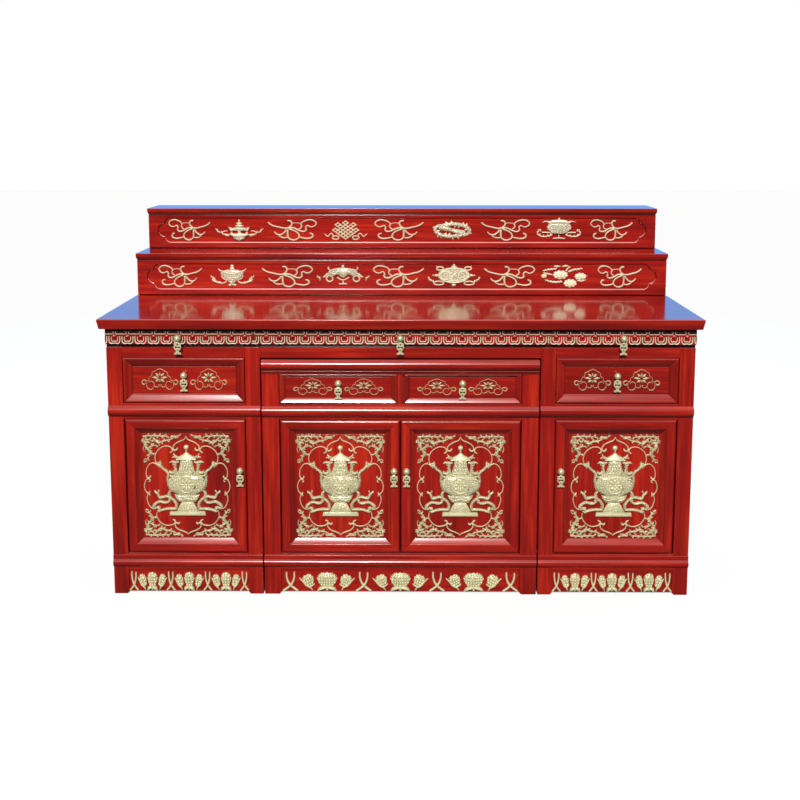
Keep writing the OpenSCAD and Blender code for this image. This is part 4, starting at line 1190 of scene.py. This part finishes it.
class ALTAR_OT_step_carving(bpy.types.Operator):
    """Lays ribbons and emblems in the sunk fields of both steps"""

    bl_idname = "altar.step_carving"
    bl_label = "Step carving"

    def execute(self, context):
        ribbon = ribbon_carving()
        rows = {
            "lower_step_case": (chalice_emblem(), parasol_emblem(), wheel_emblem(), flower_emblem()),
            "upper_step_case": (urn_emblem(), knot_emblem(), fish_emblem(), canopy_emblem()),
        }
        for node, emblems in rows.items():
            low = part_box(node)[0] / MM
            face, z = low.y + FIELD_DEPTH, low.z + FIELD_MIDDLE
            copies = []
            for i in range(9):
                at_end = i in (0, 8)
                x = (i - 4) * END_PITCH + END_SHIFT if at_end else (i - 4) * EMBLEM_PITCH + EMBLEM_SHIFT
                if i % 2 == 0:
                    wide = END_RIBBON_WIDTH if at_end else RIBBON_WIDTH
                    copies.append((ribbon, x, face, z, wide if i % 4 == 0 else -wide, RIBBON_HEIGHT))
                else:
                    copies.append((emblems[i // 2], x, face, z, 1, 1))
            lay_carving(node.replace("case", "carving"), BODY_OF[node], copies, finish=PAINTED_LIGHT_LEAF)
        return {"FINISHED"}


class ALTAR_OT_frieze_carving(bpy.types.Operator):
    """Lays the band of petals, the row of pans and the red balls on the three frieze drawers"""

    bl_idname = "altar.frieze_carving"
    bl_label = "Frieze carving"

    def execute(self, context):
        petal, bracket, ball = petal_carving(), bracket_carving(PETAL_PITCH), ball_mesh(BALL_HALF)
        for side, count, first, way in FRIEZE:
            node = "frieze_front_" + side
            low, high = front_box(node)
            ends = (low.x + BAND_GAP, high.x - BAND_GAP)
            start = ends[0] + first if way > 0 else ends[1] - first
            gilt, balls = [], []
            for i in range(-1, count):
                x = start + way * i * PETAL_PITCH
                gilt.append((petal, x, low.y, low.z, 1, 1))
                gilt.append((bracket, x + way * PETAL_PITCH / 2, low.y, low.z, 1, 1))
                if ends[0] + BALL_ROOM < x < ends[1] - BALL_ROOM:
                    balls.append((ball, x, low.y, low.z + BALL_HEIGHT, 1, 1))
            lay_carving("frieze_petals_" + side, BODY_OF[node], gilt, ends, PAINTED_LIGHT_LEAF)
            # A dark sheet behind the pans: painted shadow of the table top
            ground = shade_mesh(high.x - low.x - 2 * SHADE_GAP)
            shade = [(ground, low.x + SHADE_GAP, low.y, low.z, 1, 1)]
            lay_carving("frieze_shade_" + side, BODY_OF[node], shade, finish=SHADE)
            lay_carving("frieze_balls_" + side, BODY_OF[node], balls, finish=LACQUER_SLOT)
        return {"FINISHED"}


class ALTAR_OT_drawer_carving(bpy.types.Operator):
    """Lays two lotus ornaments on each drawer of the pedestals and of the centre cabinet"""

    bl_idname = "altar.drawer_carving"
    bl_label = "Drawer carving"

    def execute(self, context):
        lotus = lotus_carving()
        for kind, apart, drop, wide, tall in DRAWERS:
            for side in ("left", "right"):
                low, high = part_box(f"boss_{kind}_{side}")
                x = (low.x + high.x) / 2 / MM
                face, z = high.y / MM, high.z / MM - BOSS_BALL - drop
                copies = [(lotus, x + s * apart, face, z, wide, tall) for s in (-1, 1)]
                lay_carving(f"{kind}_lotus_{side}", BODY_OF[f"{kind}_front_{side}"], copies)
        return {"FINISHED"}


class ALTAR_OT_door_carving(bpy.types.Operator):
    """Lays the vase and its cartouche on each door's panel"""

    bl_idname = "altar.door_carving"
    bl_label = "Door carving"

    def execute(self, context):
        vase = door_carving()
        for node in ("door_left", "door_right", "centre_door_left", "centre_door_right"):
            low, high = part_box(node)
            middle = (low + high) / 2 / MM
            copies = [(vase, middle.x, low.y / MM + PANEL_DEPTH, middle.z, 1, 1)]
            lay_carving(node + "_carving", BODY_OF[node], copies)
        return {"FINISHED"}


class ALTAR_OT_apron_carving(bpy.types.Operator):
    """Lays lotus flowers, buds and crossed ribbons on the front aprons"""

    bl_idname = "altar.apron_carving"
    bl_label = "Apron carving"

    def execute(self, context):
        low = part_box("centre_apron")[0] / MM
        face, z = low.y, low.z + APRON_MIDDLE
        for side, node, middle, pitch, half, narrow, out in APRONS:
            lotus, bud, ribbon = apron_lotus(half), apron_bud(narrow), apron_ribbon(narrow)
            copies = []
            for x in (middle - pitch, middle, middle + pitch):
                copies.append((lotus, x, face, z, 1, 1))
                copies += [(bud, x + s * out, face, z, -s, 1) for s in (-1, 1)]
            for i in (-1.5, -0.5, 0.5, 1.5):
                copies.append((ribbon, middle + i * pitch, face, z, 1, 1))
            lay_carving("apron_carving_" + side, BODY_OF[node], copies)
        return {"FINISHED"}


def lay_floor(look):
    """A plain floor that glows for the camera alone, but not under the altar, where the missing glow is a
    painted shadow
    """
    ground = bmesh.new()
    bmesh.ops.create_grid(ground, x_segments=1, y_segments=1, size=FLOOR_HALF)
    finish = Finish(bpy.data.materials.new("floor"))
    place = finish.signal("ShaderNodeTexCoord", output="Object")
    tone = finish.mix(finish.noise(place, 6.0, 3), dimmed(look.floor, 0.97), look.floor)
    split = finish.node("ShaderNodeSeparateXYZ", None, {"Vector": place})
    across, deep = (finish.math("ABSOLUTE", Signal(finish, split.outputs[i]), 0.0) for i in (0, 1))
    # Painted shadow: the glow fades out over the altar's footprint
    under = (finish.clamp((PAINTED_SHADOW_HALF_X - across) * PAINTED_SHADOW_FADE)
             * finish.clamp((PAINTED_SHADOW_HALF_Y - deep) * PAINTED_SHADOW_FADE))
    glow = finish.mix(finish.signal("ShaderNodeLightPath") * (1.0 - under), (0, 0, 0), FLOOR_GLOW)
    floor = smooth_object("floor", ground, finish.surface(
        Base_Color=finish.mix(0.2, (0, 0, 0), tone), Roughness=1.0, Specular_IOR_Level=0.0,
        Emission_Color=glow, Emission_Strength=1.0))


def hang_lamp(look, name, kind, place, aim, size, power, colour):
    lamp = bpy.data.lights.new(name, kind)
    if kind == "SUN":
        lamp.angle = size
    else:
        lamp.shape = "SQUARE"
        lamp.size = size
    lamp.energy = power * look.light
    lamp.color = colour
    lit = bpy.data.objects.new(name, lamp)
    lit.location = place
    lit.rotation_euler = (Vector(aim) - Vector(place)).to_track_quat("-Z", "Y").to_euler()
    lit.visible_camera = False
    bpy.context.scene.collection.objects.link(lit)


class ALTAR_OT_stage(bpy.types.Operator):
    """Sets a plain floor, soft lights and the camera"""

    bl_idname = "altar.stage"
    bl_label = "Stage"

    def execute(self, context):
        scene = context.scene
        look = scene.altar_stage
        lay_floor(look)
        for lamp in LAMPS:
            hang_lamp(look, *lamp)
        scene.world = bpy.data.worlds.new("studio")
        studio = Finish(scene.world)
        sky = studio.signal("ShaderNodeBackground", None, {
            "Color": SKY, "Strength": SKY_STRENGTH * look.light})
        backdrop = studio.signal("ShaderNodeBackground", None, {"Color": (1, 1, 1, 1)})
        pick = studio.signal("ShaderNodeMixShader", None, {
            0: studio.signal("ShaderNodeLightPath"), 1: sky, 2: backdrop})
        studio.node("ShaderNodeOutputWorld", None, {"Surface": pick})
        camera = bpy.data.cameras.new("camera")
        camera.lens = look.focal
        camera.sensor_width = CAMERA_SENSOR
        camera.shift_y = CAMERA_SHIFT
        seen = bpy.data.objects.new("camera", camera)
        level = math.cos(CAMERA_PITCH)
        forward = Vector(
            (math.sin(CAMERA_YAW) * level, math.cos(CAMERA_YAW) * level, -math.sin(CAMERA_PITCH)))
        seen.location = CAMERA_PLACE
        seen.rotation_euler = forward.to_track_quat("-Z", "Y").to_euler()
        scene.collection.objects.link(seen)
        scene.camera = seen
        scene.view_settings.view_transform = "Standard"
        return {"FINISHED"}


class ALTAR_PT_panel(bpy.types.Panel):
    """Lists the steps and the settings"""

    bl_idname = "ALTAR_PT_panel"
    bl_label = "Altar cabinet"
    bl_space_type = "VIEW_3D"
    bl_region_type = "UI"
    bl_category = "Altar"

    def draw(self, context):
        for group, kind in GROUPS.items():
            box = self.layout.box()
            for name in kind.__annotations__:
                box.prop(getattr(context.scene, group), name)
        for step in STEPS:
            self.layout.operator(step.bl_idname)


GROUPS = {
    "altar_lacquer": LacquerLook, "altar_gilt": GiltLook, "altar_wood": WoodLook, "altar_stage": StageLook,
}
STEPS = (
    ALTAR_OT_boards, ALTAR_OT_pulls, ALTAR_OT_step_carving, ALTAR_OT_frieze_carving, ALTAR_OT_drawer_carving,
    ALTAR_OT_door_carving, ALTAR_OT_apron_carving, ALTAR_OT_stage,
)


def register():
    for name, group in GROUPS.items():
        bpy.utils.register_class(group)
        setattr(bpy.types.Scene, name, PointerProperty(type=group))
    for one in (*STEPS, ALTAR_PT_panel):
        bpy.utils.register_class(one)


def unregister():
    for one in reversed((*STEPS, ALTAR_PT_panel)):
        bpy.utils.unregister_class(one)
    for name, group in GROUPS.items():
        delattr(bpy.types.Scene, name)
        bpy.utils.unregister_class(group)


def main():
    register()
    for step in STEPS:
        group, name = step.bl_idname.split(".")
        getattr(getattr(bpy.ops, group), name)()


if __name__ == "__main__":
    main()
